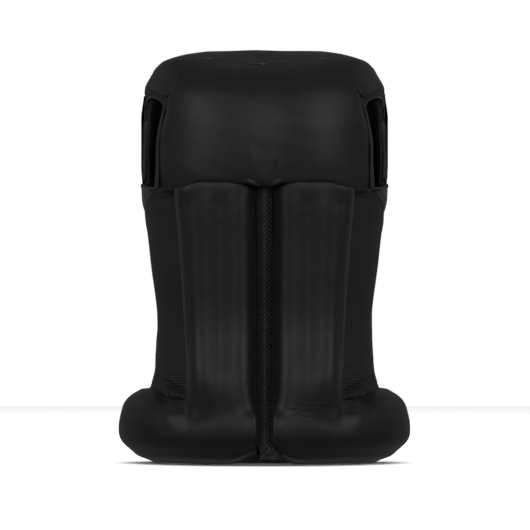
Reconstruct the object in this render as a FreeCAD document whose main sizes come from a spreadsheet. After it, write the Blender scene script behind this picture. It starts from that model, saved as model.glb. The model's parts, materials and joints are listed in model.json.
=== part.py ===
"""Inflatable motorcycle back protector vest, drawn fully inflated and standing on its hip roll.

Units are millimetres.  +Z is up, the padded back faces -Y, the zipped front faces +Y, and the
wearer's left is -X.  The origin is on the floor, in the middle of the vest's width and depth.

The soft shell is built in layers round the wearer's torso: lining, protector plate, gas chambers and
outer covers.  Every layer is a stack of ellipses, lofted, then trimmed by blocks.
"""
import FreeCAD, Part
import os
import re

import Sketcher

# ---------------------------------------------------------------------------------------------
# Driving dimensions
# ---------------------------------------------------------------------------------------------
# The wearer's side of the shell, as ellipses: height, half width, rearmost y and foremost y.
TORSO = {
    "sole": (-30, 160, -95, 129),
    "hip": (60, 158, -93, 127),
    "belly": (130, 160, -83, 125),
    "waist": (210, 156, -75, 125),
    "ribs": (310, 165, -84, 126),
    "bust": (410, 178, -98, 128),
    "armpit": (500, 179, -103, 121),
    "blade": (550, 172, -98, 105),
    "strap": (575, 145, -85, 85),
    "nape": (590, 110, -72, 66),
    "neck": (605, 84, -64, 54),
    "sky": (650, 80, -62, 52),
}
# The inflated outside of the yoke, the shoulders and the fronts.
BULGE = {
    "front_low": (100, 172, -104, 153),
    "front_belly": (155, 167, -104, 159),
    "front_waist": (210, 164, -104, 163),
    "front_low_ribs": (260, 167, -106, 166),
    "front_ribs": (310, 173, -114, 168),
    "front_bust": (370, 184, -146, 169),
    "yoke_foot": (410, 187, -160, 169),
    "yoke_crest": (470, 188, -168, 167),
    "yoke_top": (525, 187, -167, 157),
    "shoulder_tip": (562, 182, -157, 137),
    "shoulder": (586, 171, -143, 113),
    "shoulder_top": (598, 163, -132, 92),
    "collar_low": (609, 146, -117, 60),
    "collar_high": (616, 118, -102, 25),
    "crown": (620, 90, -90, 0),
}
# The inflated outside of the hip roll.
ROLL = {
    "roll_floor": (0, 176, -116, 150),
    "roll_turn": (8, 190, -131, 164),
    "roll_low": (17, 199, -140, 173),
    "roll_under": (29, 211, -151, 185),
    "roll_mid": (54, 220, -160, 194),
    "roll_over": (78, 217, -158, 191),
    "roll_high": (90, 213, -155, 187),
    "roll_brow": (102, 202, -147, 176),
    "roll_lip": (112, 185, -135, 160),
}
# One inflated spine column: height, outer edge, centre y and depth behind that centre.
COLUMN = {
    "column_foot": (113, 116, -95, 63),
    "column_waist": (200, 120, -84, 58),
    "column_ribs": (300, 126, -87, 59),
    "column_head": (412, 136, -94, 64),
}

SIZES = {
    # layers, outwards from the wearer
    "lining_wall": 2.5,
    "layer_gap": 0.5,
    "stretch_wall": 3,
    "plate_wall": 10,
    "cover_wall": 1.5,
    "chamber_gap": 0.6,
    "strip_wall": 4.5,
    # heights and edges of the soft panels
    "spine_half_gap": 10.5,
    "strip_bottom": 22,
    "side_edge": 106,
    "seam_y": 25,
    "front_bottom": 114,
    "front_top": 520,
    "front_centre_gap": 17,
    "lining_centre_gap": 3,
    "lining_bottom": 20,
    "armhole_bottom": 417,
    "armhole_top": 562,
    "armhole_edge": 161,
    "armhole_front": 40,
    "yoke_seam": 594,
    "shoulder_edge": -56,
    "neck_half_width": 76,
    "hip_wrap": 60,
    "chest_side": 60,
    "facing_wall": 3.2,
    "collar_wall": 2.4,
    "collar_bottom": 597,
    "collar_top": 616,
    # protector plate
    "plate_bottom": 113,
    "plate_step": 425,
    "plate_top": 586,
    "plate_narrow": 104,
    "plate_wide": 148,
    "vent_radius": 4,
    "vent_pitch": 30,
    "bay_side_room": 6,
    "bay_end_room": 2.3,
    "bay_top_room": 4,
    # sensor dock and box
    "bay_front": -104,
    "dock_bottom": 462,
    "dock_width": 100,
    "dock_height": 104,
    "dock_wall": 2.5,
    "dock_floor": 2.7,
    "box_fit": 0.3,
    "box_depth": 26.5,
    "box_wall": 1.8,
    "lid_depth": 8,
    "case_radius": 6,
    "board_wall": 1.6,
    "post_radius": 2.5,
    "post_height": 2,
    "post_inset": 9,
    "board_gap": 4,
    "battery_width": 62,
    "battery_height": 50,
    "battery_up": 38,
    "button_radius": 5,
    "button_fit": 0.2,
    "button_proud": 0.9,
    "button_flange": 6.5,
    "button_side": 30,
    "button_up": 18,
    "window_width": 24,
    "window_height": 4,
    "window_up": 18,
    "port_width": 9.4,
    "port_height": 3.8,
    "port_wall": 0.5,
    "port_length": 7,
    "port_side": 30,
    "flap_width": 15,
    "flap_height": 9,
    "flap_wall": 1.6,
    # gas cartridge
    "cartridge_radius": 13,
    "plug_room": 1.35,
    "cartridge_back": -64,
    "cartridge_nose": 28,
    "cartridge_mouth": 34,
    "neck_radius": 6,
    "neck_depth": 9,
    "neck_fit": 0.05,
    "manifold_length": 20,
    "manifold_gap": 0.5,
    "manifold_height": 31,
    "nozzle_radius": 5,
    "nozzle_length": 9,
    "clip_wall": 1.4,
    "clip_fit": 0.3,
    "clip_width": 12,
    "clip_first": -51,
    "clip_pitch": 40,
    "plug_width": 20,
    "plug_height": 3.4,
    "plug_side": 10,
    "lead_radius": 1.3,
    "pocket_flap_wall": 1.8,
    "pocket_flap_room": 1.5,
    "pocket_flap_side_room": 4,
    # front zip
    "zip_y": 142,
    "zip_bottom": 118,
    "zip_top": 514,
    "tape_wall": 0.8,
    "tape_edge": 16.5,
    "chain_half_gap": 1.7,
    "chain_width": 2.7,
    "chain_wall": 3,
    "chain_fit": 0.3,
    "slider_length": 14,
    "slider_bottom": 494,
    "slider_wall": 1.7,
    "slider_lip": 1.4,
    "slider_slot": 1.7,
    "ear_gap": 4.2,
    "ear_wall": 1.2,
    "ear_height": 4.6,
    "ear_length": 5,
    "hinge_radius": 0.8,
    "hinge_fit": 0.08,
    "hinge_proud": 2.9,
    "puller_width": 3.8,
    "puller_wall": 1.6,
    "puller_eye": 2,
    "puller_length": 30,
    "puller_tab": 8,
    "stop_height": 2.4,
    # hanger loop
    "loop_width": 44,
    "loop_height": 15,
    "loop_band": 3,
    "loop_wall": 2,
    "loop_up": 588,
    "loop_y": -59.8,
}

doc = FreeCAD.newDocument("BackProtector")
sheet = doc.addObject("Spreadsheet::Sheet", "Dims")
aliases = set()
finished = []


def fill_sheet():
    """One row for every driving number: its name in column A and its value in column B."""
    rows = list(SIZES.items())
    for levels in (TORSO, BULGE, ROLL):
        for level, values in levels.items():
            rows += [(f"{level}_{part}", v) for part, v in zip(("z", "half", "back", "front"), values)]
    for level, values in COLUMN.items():
        rows += [(f"{level}_{part}", v) for part, v in zip(("z", "edge", "centre", "deep"), values)]
    if len({alias for alias, _ in rows}) < len(rows):
        raise RuntimeError("two dimensions share a name")
    for row, (alias, value) in enumerate(rows, start=1):
        sheet.set(f"A{row}", alias)
        sheet.set(f"B{row}", str(value))
        sheet.setAlias(f"B{row}", alias)
        aliases.add(alias)
    doc.recompute()


def cells(text):
    """An expression in plain names, with each name of the sheet made a reference to its cell."""
    return re.sub(r"[a-z][a-z0-9_]*", lambda m: f"Dims.{m[0]}" if m[0] in aliases else m[0], str(text))


def bind(item, **properties):
    """Binds properties to expressions; x, y and z stand for the placement's base."""
    for name, text in properties.items():
        path = f".Placement.Base.{name}" if name in "xyz" else name
        item.setExpression(path, cells(text))
    return item


def finish(item, node):
    """Marks an object as a sub-part of the vest, under its node name."""
    item.Label = node
    finished.append(item)
    return item


# ---------------------------------------------------------------------------------------------
# Building blocks for the soft shell
# ---------------------------------------------------------------------------------------------
def stack(name, levels, grow="0"):
    """A loft through one ellipse per level, each grown outwards by the same amount."""
    rings = []
    for level in levels:
        ring = doc.addObject("Part::Ellipse", f"{name}_{level}")
        bind(
            ring,
            MajorRadius=f"{level}_half + {grow}",
            MinorRadius=f"({level}_front - {level}_back) / 2 + {grow}",
            y=f"({level}_front + {level}_back) / 2",
            z=f"{level}_z",
        )
        rings.append(ring)
    return loft(name, rings)


def loft(name, rings):
    body = doc.addObject("Part::Loft", name)
    body.Sections = rings
    body.Solid = True
    return body


def block(name, x_low, x_high, y_low, y_high, z_low, z_high):
    """A box between two corners, each coordinate an expression."""
    box = doc.addObject("Part::Box", name)
    return bind(
        box,
        Length=f"({x_high}) - ({x_low})",
        Width=f"({y_high}) - ({y_low})",
        Height=f"({z_high}) - ({z_low})",
        x=x_low,
        y=y_low,
        z=z_low,
    )


def tube(name, radius, length, x, y, z, axis):
    """A cylinder that starts at a point and runs along an axis."""
    rod = doc.addObject("Part::Cylinder", name)
    rod.Placement.Rotation = FreeCAD.Rotation(FreeCAD.Vector(0, 0, 1), axis)
    return bind(rod, Radius=radius, Height=length, x=x, y=y, z=z)


def cut(name, base, *tools):
    for number, tool in enumerate(tools):
        step = doc.addObject("Part::Cut", name if tool is tools[-1] else f"{name}_step{number}")
        step.Base = base
        step.Tool = tool
        base = step
    return base


def common(name, base, tool):
    both = doc.addObject("Part::Common", name)
    both.Base = base
    both.Tool = tool
    return both


def fuse(name, *shapes):
    joined = doc.addObject("Part::MultiFuse", name)
    joined.Shapes = list(shapes)
    return joined


def mirrored(name, source):
    """The same piece on the wearer's right, reflected in the plane X = 0."""
    twin = doc.addObject("Part::Mirroring", name)
    twin.Source = source
    twin.Normal = FreeCAD.Vector(1, 0, 0)
    return twin


def both_sides(source, node):
    finish(source, f"left_{node}")
    finish(mirrored(f"{node}_right", source), f"right_{node}")


FAR = "300"
SKY = "900"
PLATE_FACE = "lining_wall + layer_gap"
COVER_FACE = "lining_wall + layer_gap + plate_wall + layer_gap"


def span_block(name, span, shrink="0"):
    """A block given as corner expressions, drawn in by the same amount on every closed side."""
    edges = []
    for index, edge in enumerate(span):
        if edge.strip("-") not in (FAR, SKY):
            edge = f"{edge} {'-' if index % 2 else '+'} ({shrink})"
        edges.append(edge)
    return block(name, *edges)


def filled(name, form, span, notches, shrink="0"):
    """The part of a form inside a span and outside its notches, drawn in all round."""
    body = common(f"{name}_slice", form, span_block(f"{name}_span", span, shrink))
    if not notches:
        return body
    grown = [span_block(f"{name}_notch{n}", notch, f"-({shrink})") for n, notch in enumerate(notches)]
    return cut(name, body, *grown)


def cover(name, outside, inside, span, skin, notches=(), holes=()):
    """An inflated cover of one wall, open towards the wearer, where it stops at the skin form."""
    whole = filled(f"{name}_whole", outside, span, notches)
    hollow = filled(f"{name}_hollow", inside, span, notches, "cover_wall")
    return cut(f"{name}_cover", whole, skin, hollow, *holes)


def chamber(name, form, span, skin, notches=(), holes=()):
    """The gas chamber in a cover, clear of it all round."""
    gas = filled(f"{name}_gas", form, span, notches, "(cover_wall + chamber_gap)")
    return cut(f"{name}_chamber", gas, skin, *holes)


def column(name, shrink):
    """One spine column, a loft of upright ellipses, drawn in by the same amount all round."""
    rings = []
    for level in COLUMN:
        ring = doc.addObject("Part::Ellipse", f"{name}_{level}")
        # The ellipse is deeper than wide, so its major axis is turned to point along Y.
        ring.Placement.Rotation = FreeCAD.Rotation(FreeCAD.Vector(0, 0, 1), 90)
        bind(
            ring,
            MajorRadius=f"{level}_deep - {shrink}",
            MinorRadius=f"({level}_edge - spine_half_gap) / 2 - {shrink}",
            x=f"-({level}_edge + spine_half_gap) / 2",
            y=f"{level}_centre",
            z=f"{level}_z",
        )
        rings.append(ring)
    return loft(name, rings)


# ---------------------------------------------------------------------------------------------
# Soft shell: lining, covers, chambers, stretch panels and trims
# ---------------------------------------------------------------------------------------------
def build_forms():
    """The lofted forms that every layer is trimmed from."""
    return {
        "skin": stack("skin", TORSO),
        "collar_in": stack("collar_in", TORSO, "-layer_gap - collar_wall"),
        "collar_out": stack("collar_out", TORSO, "-layer_gap"),
        "lining": stack("lining_form", TORSO, "lining_wall"),
        "plate_in": stack("plate_in", TORSO, f"({PLATE_FACE})"),
        "stretch": stack("stretch_form", TORSO, f"({PLATE_FACE} + stretch_wall)"),
        "plate_out": stack("plate_out", TORSO, f"({PLATE_FACE} + plate_wall)"),
        "cover_in": stack("cover_in", TORSO, f"({COVER_FACE})"),
        "gas_in": stack("gas_in", TORSO, f"({COVER_FACE} + chamber_gap)"),
        "front_gas_in": stack("front_gas_in", TORSO, f"({PLATE_FACE} + chamber_gap)"),
        "strip": stack("strip_form", TORSO, f"({COVER_FACE} + strip_wall)"),
        "bulge": stack("bulge", BULGE),
        "bulge_in": stack("bulge_in", BULGE, "-cover_wall"),
        "bulge_gas": stack("bulge_gas", BULGE, "-(cover_wall + chamber_gap)"),
        "roll": stack("roll", ROLL),
        "roll_in": stack("roll_in", ROLL, "-cover_wall"),
        "roll_gas": stack("roll_gas", ROLL, "-(cover_wall + chamber_gap)"),
    }


def build_yoke(forms, armholes, holes):
    """The big pad across the shoulder blades, and the roll behind the neck above its seam."""
    span = (
        f"-{FAR}", FAR, f"-{FAR}", "shoulder_edge - layer_gap",
        "armhole_bottom + layer_gap", "yoke_seam - layer_gap",
    )
    skins = forms["cover_in"], forms["gas_in"]
    pad = cover("yoke", forms["bulge"], forms["bulge_in"], span, skins[0], armholes, holes)
    finish(pad, "yoke_cover")
    finish(chamber("yoke", forms["bulge_gas"], span, skins[1], armholes, holes), "yoke_chamber")

    side = "(neck_half_width - layer_gap)"
    span = (f"-{side}", side, f"-{FAR}", "-20", "yoke_seam + layer_gap", SKY)
    skins = forms["plate_in"], forms["front_gas_in"]
    finish(cover("neck_roll", forms["bulge"], forms["bulge_in"], span, skins[0]), "neck_roll_cover")
    finish(chamber("neck_roll", forms["bulge_gas"], span, skins[1]), "neck_roll_chamber")


def build_shoulders(forms, armhole):
    """The inflated straps from the yoke over each shoulder to the top of the fronts."""
    span = (f"-{FAR}", "-neck_half_width", f"-{FAR}", FAR, "front_top + layer_gap", SKY)
    behind = (f"-{FAR}", FAR, f"-{FAR}", "shoulder_edge", f"-{FAR}", "yoke_seam + layer_gap")
    skins = forms["plate_in"], forms["front_gas_in"]
    notches = (behind, armhole)
    strap = cover("shoulder", forms["bulge"], forms["bulge_in"], span, skins[0], notches)
    both_sides(strap, "shoulder_cover")
    both_sides(chamber("shoulder", forms["bulge_gas"], span, skins[1], notches), "shoulder_chamber")


def build_spine(forms):
    """The two inflated columns beside the spine and the spacer mesh between them."""
    sleeve = cut("spine_cover", column("column", "0"), column("column_in", "cover_wall"), forms["cover_in"])
    both_sides(sleeve, "spine_cover")
    low, high = "column_foot_z + layer_gap", "column_head_z - layer_gap"
    ends = block("column_ends", f"-{FAR}", "0", f"-{FAR}", "0", low, high)
    gas = common("spine_gas", column("column_gas", "(cover_wall + chamber_gap)"), ends)
    both_sides(cut("spine_chamber", gas, forms["gas_in"]), "spine_chamber")

    edge = "spine_half_gap - layer_gap"
    span = block("strip_span", f"-({edge})", edge, f"-{FAR}", "0", "strip_bottom", "column_head_z")
    strip = common("strip_body", forms["strip"], span)
    finish(cut("spine_mesh", strip, forms["cover_in"]), "spine_mesh_strip")


def build_hips(forms):
    """The hip roll, a left and a right half that wrap from the spine round to the fronts."""
    span = (f"-{FAR}", "-spine_half_gap", f"-{FAR}", "hip_wrap", "0", "roll_lip_z")
    both_sides(cover("hip", forms["roll"], forms["roll_in"], span, forms["plate_in"]), "hip_cover")
    both_sides(chamber("hip", forms["roll_gas"], span, forms["front_gas_in"]), "hip_chamber")


def build_sides(forms):
    """The ribbed stretch panels under the arms."""
    span = block(
        "side_span", f"-{FAR}", "-side_edge", f"-{FAR}", "seam_y",
        "roll_lip_z + layer_gap", "armhole_bottom - layer_gap",
    )
    panel = cut("side_panel", common("side_body", forms["stretch"], span), forms["plate_in"])
    both_sides(panel, "side_panel")


def build_fronts(forms, armhole):
    """The two front pads, each a pouch from the zip round to the side seam."""
    span = (f"-{FAR}", "-front_centre_gap", "seam_y + layer_gap", FAR, "front_bottom", "front_top")
    skins = forms["plate_in"], forms["front_gas_in"]
    both_sides(cover("front", forms["bulge"], forms["bulge_in"], span, skins[0], (armhole,)), "front_cover")
    span = (f"-{FAR}", "-front_centre_gap", "chest_side", FAR, "front_bottom", "front_top")
    both_sides(chamber("chest", forms["bulge_gas"], span, skins[1]), "chest_chamber")


def build_linings(forms, bay):
    """The mesh against the wearer: one back piece, two fronts and a hem."""
    shell = cut("lining_shell", forms["lining"], forms["skin"])
    span = block("back_lining_span", f"-{FAR}", FAR, f"-{FAR}", "seam_y", "lining_bottom", "collar_top")
    low, high = "armhole_bottom - layer_gap", "armhole_top"
    edge = "armhole_edge - facing_wall"
    back = cut(
        "back_lining_body",
        common("back_lining_slice", shell, span),
        block("lining_scye_left", f"-{FAR}", f"-({edge})", f"-{FAR}", FAR, low, high),
        block("lining_scye_right", edge, FAR, f"-{FAR}", FAR, low, high),
        block("lining_neck", f"-{FAR}", FAR, "shoulder_edge", FAR, low, SKY),
        bay,
    )
    finish(back, "back_lining")

    span = block("hem_span", f"-{FAR}", FAR, f"-{FAR}", "hip_wrap", "1", "lining_bottom - layer_gap")
    finish(common("hem", shell, span), "bottom_hem")

    span = block(
        "front_lining_span", f"-{FAR}", "-lining_centre_gap", "seam_y + layer_gap", FAR,
        "front_bottom", "front_top",
    )
    scye = block("lining_scye_front", f"-{FAR}", "0", f"-{FAR}", "armhole_front", low, high)
    front = cut("front_lining", common("front_lining_body", shell, span), scye)
    both_sides(front, "front_lining")


def build_trims(forms):
    """Facings along the armholes, the collar band and the hanger loop."""
    wall = cut("facing_wall_form", forms["bulge"], forms["plate_in"])
    outer = "armhole_edge + layer_gap"
    low, high = "armhole_bottom + layer_gap", "armhole_top - layer_gap"
    span = block("facing_span", f"-{FAR}", f"-({outer})", f"-{FAR}", "armhole_front", low, high)
    under = f"{high} - facing_wall"
    facing = cut(
        "facing",
        common("facing_body", wall, span),
        block("facing_outside", f"-{FAR}", f"-({outer} + facing_wall)", f"-{FAR}", FAR, "0", under),
        block("facing_inside", f"-{FAR}", "0", "shoulder_edge - layer_gap", FAR, "0", under),
    )
    both_sides(facing, "armhole_facing")

    span = block("collar_span", f"-{FAR}", FAR, f"-{FAR}", "armhole_front", "collar_bottom", "collar_top")
    ring = cut("collar_ring", forms["collar_out"], forms["collar_in"])
    finish(common("collar", ring, span), "collar_band")

    outer = block(
        "loop_outer", "-loop_width / 2", "loop_width / 2", "loop_y", "loop_y + loop_wall",
        "loop_up", "loop_up + loop_height",
    )
    inner = block(
        "loop_inner", "-(loop_width / 2 - loop_band)", "loop_width / 2 - loop_band", "loop_y - 1",
        "loop_y + loop_wall + 1", "loop_up + loop_band", "loop_up + loop_height - loop_band",
    )
    finish(cut("loop", outer, inner), "hanger_loop")


def build_plate(forms, bay):
    """The protector plate: a T that is wide over the shoulder blades, with rows of vents."""
    edge = "shoulder_edge - layer_gap"
    span = block("plate_span", "-plate_wide", "plate_wide", f"-{FAR}", edge, "plate_bottom", "plate_top")
    body = cut(
        "plate_body",
        common("plate_slice", forms["plate_out"], span),
        block("plate_notch_left", f"-{FAR}", "-plate_narrow", f"-{FAR}", "0", "0", "plate_step"),
        block("plate_notch_right", "plate_narrow", FAR, f"-{FAR}", "0", "0", "plate_step"),
    )
    vents = []
    for row in range(9):
        for side in (-1.5, -0.5, 0.5, 1.5):
            vents.append(
                tube(
                    f"vent_{row}_{len(vents)}", "vent_radius", FAR, f"vent_pitch * {side}", "-20",
                    f"plate_bottom + vent_pitch * {row + 1}", FreeCAD.Vector(0, -1, 0),
                )
            )
    plate = cut("plate", body, forms["plate_in"], bay, fuse("vents", *vents))
    finish(plate, "protector_plate")


# ---------------------------------------------------------------------------------------------
# Building blocks for the hard parts
# ---------------------------------------------------------------------------------------------
def new_body(node, x="0", y="0", z="0", rotation=None):
    body = doc.addObject("PartDesign::Body", node)
    if rotation:
        body.Placement.Rotation = rotation
    bind(body, x=x, y=y, z=z)
    return finish(body, node)


def sketch_on(body, name, level="0"):
    """A sketch on the body's own XY plane, lifted to a level."""
    sketch = body.newObject("Sketcher::SketchObject", name)
    plane = next(f for f in body.Origin.OriginFeatures if f.Role == "XY_Plane")
    sketch.AttachmentSupport = [(plane, "")]
    sketch.MapMode = "FlatFace"
    sketch.setExpression(".AttachmentOffset.Base.z", cells(level))
    return sketch


def fix(sketch, kind, *where_and_text):
    """Adds a dimension whose value is an expression of the sheet."""
    *where, text = where_and_text
    index = sketch.addConstraint(Sketcher.Constraint(kind, *where, 1.0))
    sketch.setExpression(f"Constraints[{index}]", cells(text))


def rectangle(sketch, x_low, x_high, y_low, y_high):
    """A rectangle between two corners, fully fixed by four signed dimensions."""
    first = len(sketch.Geometry)
    corners = [(0, 0), (10, 0), (10, 10), (0, 10)]
    for start, end in zip(corners, corners[1:] + corners[:1]):
        sketch.addGeometry(Part.LineSegment(FreeCAD.Vector(*start, 0), FreeCAD.Vector(*end, 0)))
    for side in range(4):
        sketch.addConstraint(Sketcher.Constraint("Coincident", first + side, 2, first + (side + 1) % 4, 1))
        direction = "Vertical" if side % 2 else "Horizontal"
        sketch.addConstraint(Sketcher.Constraint(direction, first + side))
    fix(sketch, "DistanceX", -1, 1, first, 1, x_low)
    fix(sketch, "DistanceY", -1, 1, first, 1, y_low)
    fix(sketch, "DistanceX", -1, 1, first + 2, 1, x_high)
    fix(sketch, "DistanceY", -1, 1, first + 2, 1, y_high)


def circle(sketch, x, y, radius):
    number = len(sketch.Geometry)
    sketch.addGeometry(Part.Circle(FreeCAD.Vector(0, 0, 0), FreeCAD.Vector(0, 0, 1), 1))
    fix(sketch, "DistanceX", -1, 1, number, 3, x)
    fix(sketch, "DistanceY", -1, 1, number, 3, y)
    fix(sketch, "Radius", number, radius)


def pad(body, sketch, length):
    feature = body.newObject("PartDesign::Pad", sketch.Name + "_pad")
    feature.Profile = sketch
    bind(feature, Length=length)
    body.Tip = feature
    return feature


def pocket(body, sketch, length):
    """Cuts upwards from the sketch, and checks that material went."""
    doc.recompute()
    before = body.Shape.Volume
    feature = body.newObject("PartDesign::Pocket", sketch.Name + "_pocket")
    feature.Profile = sketch
    feature.Reversed = True
    bind(feature, Length=length)
    body.Tip = feature
    doc.recompute()
    if not body.Shape.Volume < before - 1e-3:
        raise RuntimeError(f"{feature.Name} cut nothing")
    return feature


def round_uprights(body, feature, radius):
    """Fillets the four corner edges that run along the pad's own direction."""
    doc.recompute()
    names = []
    for number, edge in enumerate(feature.Shape.Edges, start=1):
        start, end = (v.Point for v in edge.Vertexes[:2])
        if abs(end.x - start.x) + abs(end.y - start.y) < 1e-6:
            names.append(f"Edge{number}")
    fillet = body.newObject("PartDesign::Fillet", feature.Name + "_fillet")
    fillet.Base = (feature, names)
    bind(fillet, Radius=radius)
    body.Tip = fillet
    return fillet


def rounded_tray(body, name, level, half_width, low, high, depth, wall, floor, corner, opens_up):
    """A rounded tray: a filleted pad with a pocket that leaves the walls and one floor."""
    outline = sketch_on(body, name, level)
    rectangle(outline, f"-({half_width})", half_width, low, high)
    round_uprights(body, pad(body, outline, depth), corner)
    inner = sketch_on(body, name + "_inner", f"({level}) + ({floor})" if opens_up else level)
    rectangle(
        inner, f"-({half_width}) + ({wall})", f"({half_width}) - ({wall})",
        f"({low}) + ({wall})", f"({high}) - ({wall})",
    )
    pocket(body, inner, f"({depth}) - ({floor})")


# Places in the back that follow from the sizes of the dock and the cartridge.
CLIP_RADIUS = "(cartridge_radius + clip_fit + clip_wall)"
DOCK_DEPTH = f"max(box_depth + box_fit + dock_floor; 2 * {CLIP_RADIUS})"
CARTRIDGE_UP = "(dock_bottom - layer_gap / 2 - plug_height - plug_room - cartridge_radius)"
BAY_HALF_WIDTH = "(max(dock_width / 2; -cartridge_back) + bay_side_room)"
BAY_BOTTOM = f"({CARTRIDGE_UP} - {CLIP_RADIUS} - bay_end_room)"
BAY_TOP = "(dock_bottom + dock_height + bay_top_room)"
BAY_BACK = f"(bay_front - {DOCK_DEPTH} - layer_gap)"

# Local frame of the electronics: x stays, y points up and z points into the back.
INTO_BACK = FreeCAD.Rotation(FreeCAD.Vector(1, 0, 0), 90)


def bay_body(node, x="0", up="dock_bottom"):
    return new_body(node, x, "bay_front", up, INTO_BACK)


# ---------------------------------------------------------------------------------------------
# Sensor dock, sensor box and gas cartridge
# ---------------------------------------------------------------------------------------------
def build_dock():
    """The tray that the sensor box clicks into, with its plug underneath."""
    body = bay_body("sensor_dock")
    rounded_tray(
        body, "dock", "0", "dock_width / 2", "0", "dock_height", DOCK_DEPTH, "dock_wall",
        f"{DOCK_DEPTH} - box_depth - box_fit", "case_radius + dock_wall", False,
    )
    plug = bay_body("dock_plug")
    outline = sketch_on(plug, "plug", "dock_wall * 3")
    top = "-layer_gap / 2"
    rectangle(outline, "plug_side", "plug_side + plug_width", f"{top} - plug_height", top)
    pad(plug, outline, "dock_wall * 3")


def build_sensor_box():
    """The removable sensor box: case, lid, board, battery, button, light window and charging port."""
    half = "dock_width / 2 - dock_wall - box_fit"
    low = "dock_wall + box_fit"
    high = "dock_height - dock_wall - box_fit"
    split = "lid_depth + box_fit"

    case = bay_body("box_case")
    rounded_tray(
        case, "case", split, half, low, high, f"box_depth - ({split})", "box_wall", "box_wall",
        "case_radius", False,
    )
    posts = sketch_on(case, "posts", "box_depth - box_wall - post_height")
    for side in (-1, 1):
        circle(posts, f"{side} * (({half}) - post_inset)", f"({low}) + post_inset", "post_radius")
        circle(posts, f"{side} * (({half}) - post_inset)", f"({high}) - post_inset", "post_radius")
    pad(case, posts, "post_height")

    lid = bay_body("box_lid")
    rounded_tray(
        lid, "lid", "0", half, low, high, "lid_depth", "box_wall", "box_wall", "case_radius", True,
    )
    holes = sketch_on(lid, "lid_holes", "0")
    circle(holes, "-button_side", "button_up", "button_radius + button_fit")
    rectangle(
        holes, "-window_width / 2", "window_width / 2",
        "window_up - window_height / 2", "window_up + window_height / 2",
    )
    rectangle(
        holes, "port_side - port_width / 2", "port_side + port_width / 2",
        "button_up - port_height / 2", "button_up + port_height / 2",
    )
    pocket(lid, holes, "box_wall")

    inner_half = f"({half}) - box_wall - board_gap"
    board_back = "box_depth - box_wall - post_height - box_fit"
    board = bay_body("circuit_board")
    outline = sketch_on(board, "board", f"{board_back} - board_wall")
    rectangle(
        outline, f"-({inner_half})", inner_half, f"({low}) + box_wall + board_gap",
        f"({high}) - box_wall - board_gap",
    )
    pad(board, outline, "board_wall")

    battery = bay_body("battery")
    outline = sketch_on(battery, "battery_outline", split)
    rectangle(
        outline, "-battery_width / 2", "battery_width / 2", "battery_up", "battery_up + battery_height",
    )
    pad(battery, outline, f"{board_back} - board_wall - box_fit - ({split})")

    button = bay_body("power_button", "-button_side", "dock_bottom + button_up")
    cap = sketch_on(button, "button_cap", "-button_proud")
    circle(cap, "0", "0", "button_radius")
    pad(button, cap, "button_proud + box_wall + 2 * box_fit")
    flange = sketch_on(button, "button_flange_outline", "box_wall + box_fit")
    circle(flange, "0", "0", "button_flange")
    pad(button, flange, "box_wall / 2")

    window = bay_body("light_window")
    outline = sketch_on(window, "window_outline", "0")
    gap = "button_fit / 2"
    rectangle(
        outline, f"-window_width / 2 + {gap}", f"window_width / 2 - {gap}",
        f"window_up - window_height / 2 + {gap}", f"window_up + window_height / 2 - {gap}",
    )
    pad(window, outline, "box_wall")

    port = bay_body("charging_port", "port_side", "dock_bottom + button_up")
    gap = "button_fit"
    half_wide, half_high = "port_width / 2", "port_height / 2"
    outline = sketch_on(port, "port_outline", "box_fit")
    rectangle(
        outline, f"-{half_wide} + {gap}", f"{half_wide} - {gap}",
        f"-{half_high} + {gap}", f"{half_high} - {gap}",
    )
    pad(port, outline, "port_length")
    inner = sketch_on(port, "port_inner", "box_fit")
    inset = f"{gap} + port_wall"
    rectangle(
        inner, f"-{half_wide} + {inset}", f"{half_wide} - ({inset})",
        f"-{half_high} + {inset}", f"{half_high} - ({inset})",
    )
    pocket(port, inner, "port_length - port_wall")

    flap = bay_body("port_flap", "port_side", "dock_bottom + button_up")
    outline = sketch_on(flap, "port_flap_outline", "-(flap_wall + box_fit)")
    rectangle(outline, "-flap_width / 2", "flap_width / 2", "-flap_height / 2", "flap_height / 2")
    round_uprights(flap, pad(flap, outline, "flap_wall"), "flap_wall")


def revolve(body, name, points):
    """A revolution about the body's X axis of a profile given as (x, radius) expressions."""
    sketch = sketch_on(body, name)
    count = len(points)
    for number in range(count):
        start = FreeCAD.Vector(number, number % 3, 0)
        end = FreeCAD.Vector((number + 1) % count, (number + 1) % count % 3, 0)
        sketch.addGeometry(Part.LineSegment(start, end))
    for number, (x, radius) in enumerate(points):
        following = (number + 1) % count
        sketch.addConstraint(Sketcher.Constraint("Coincident", number, 2, following, 1))
        fix(sketch, "DistanceX", -1, 1, number, 1, x)
        fix(sketch, "DistanceY", -1, 1, number, 1, radius)
    feature = body.newObject("PartDesign::Revolution", name + "_turned")
    feature.Profile = sketch
    feature.ReferenceAxis = (sketch, ["H_Axis"])
    feature.Angle = 360
    body.Tip = feature


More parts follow.
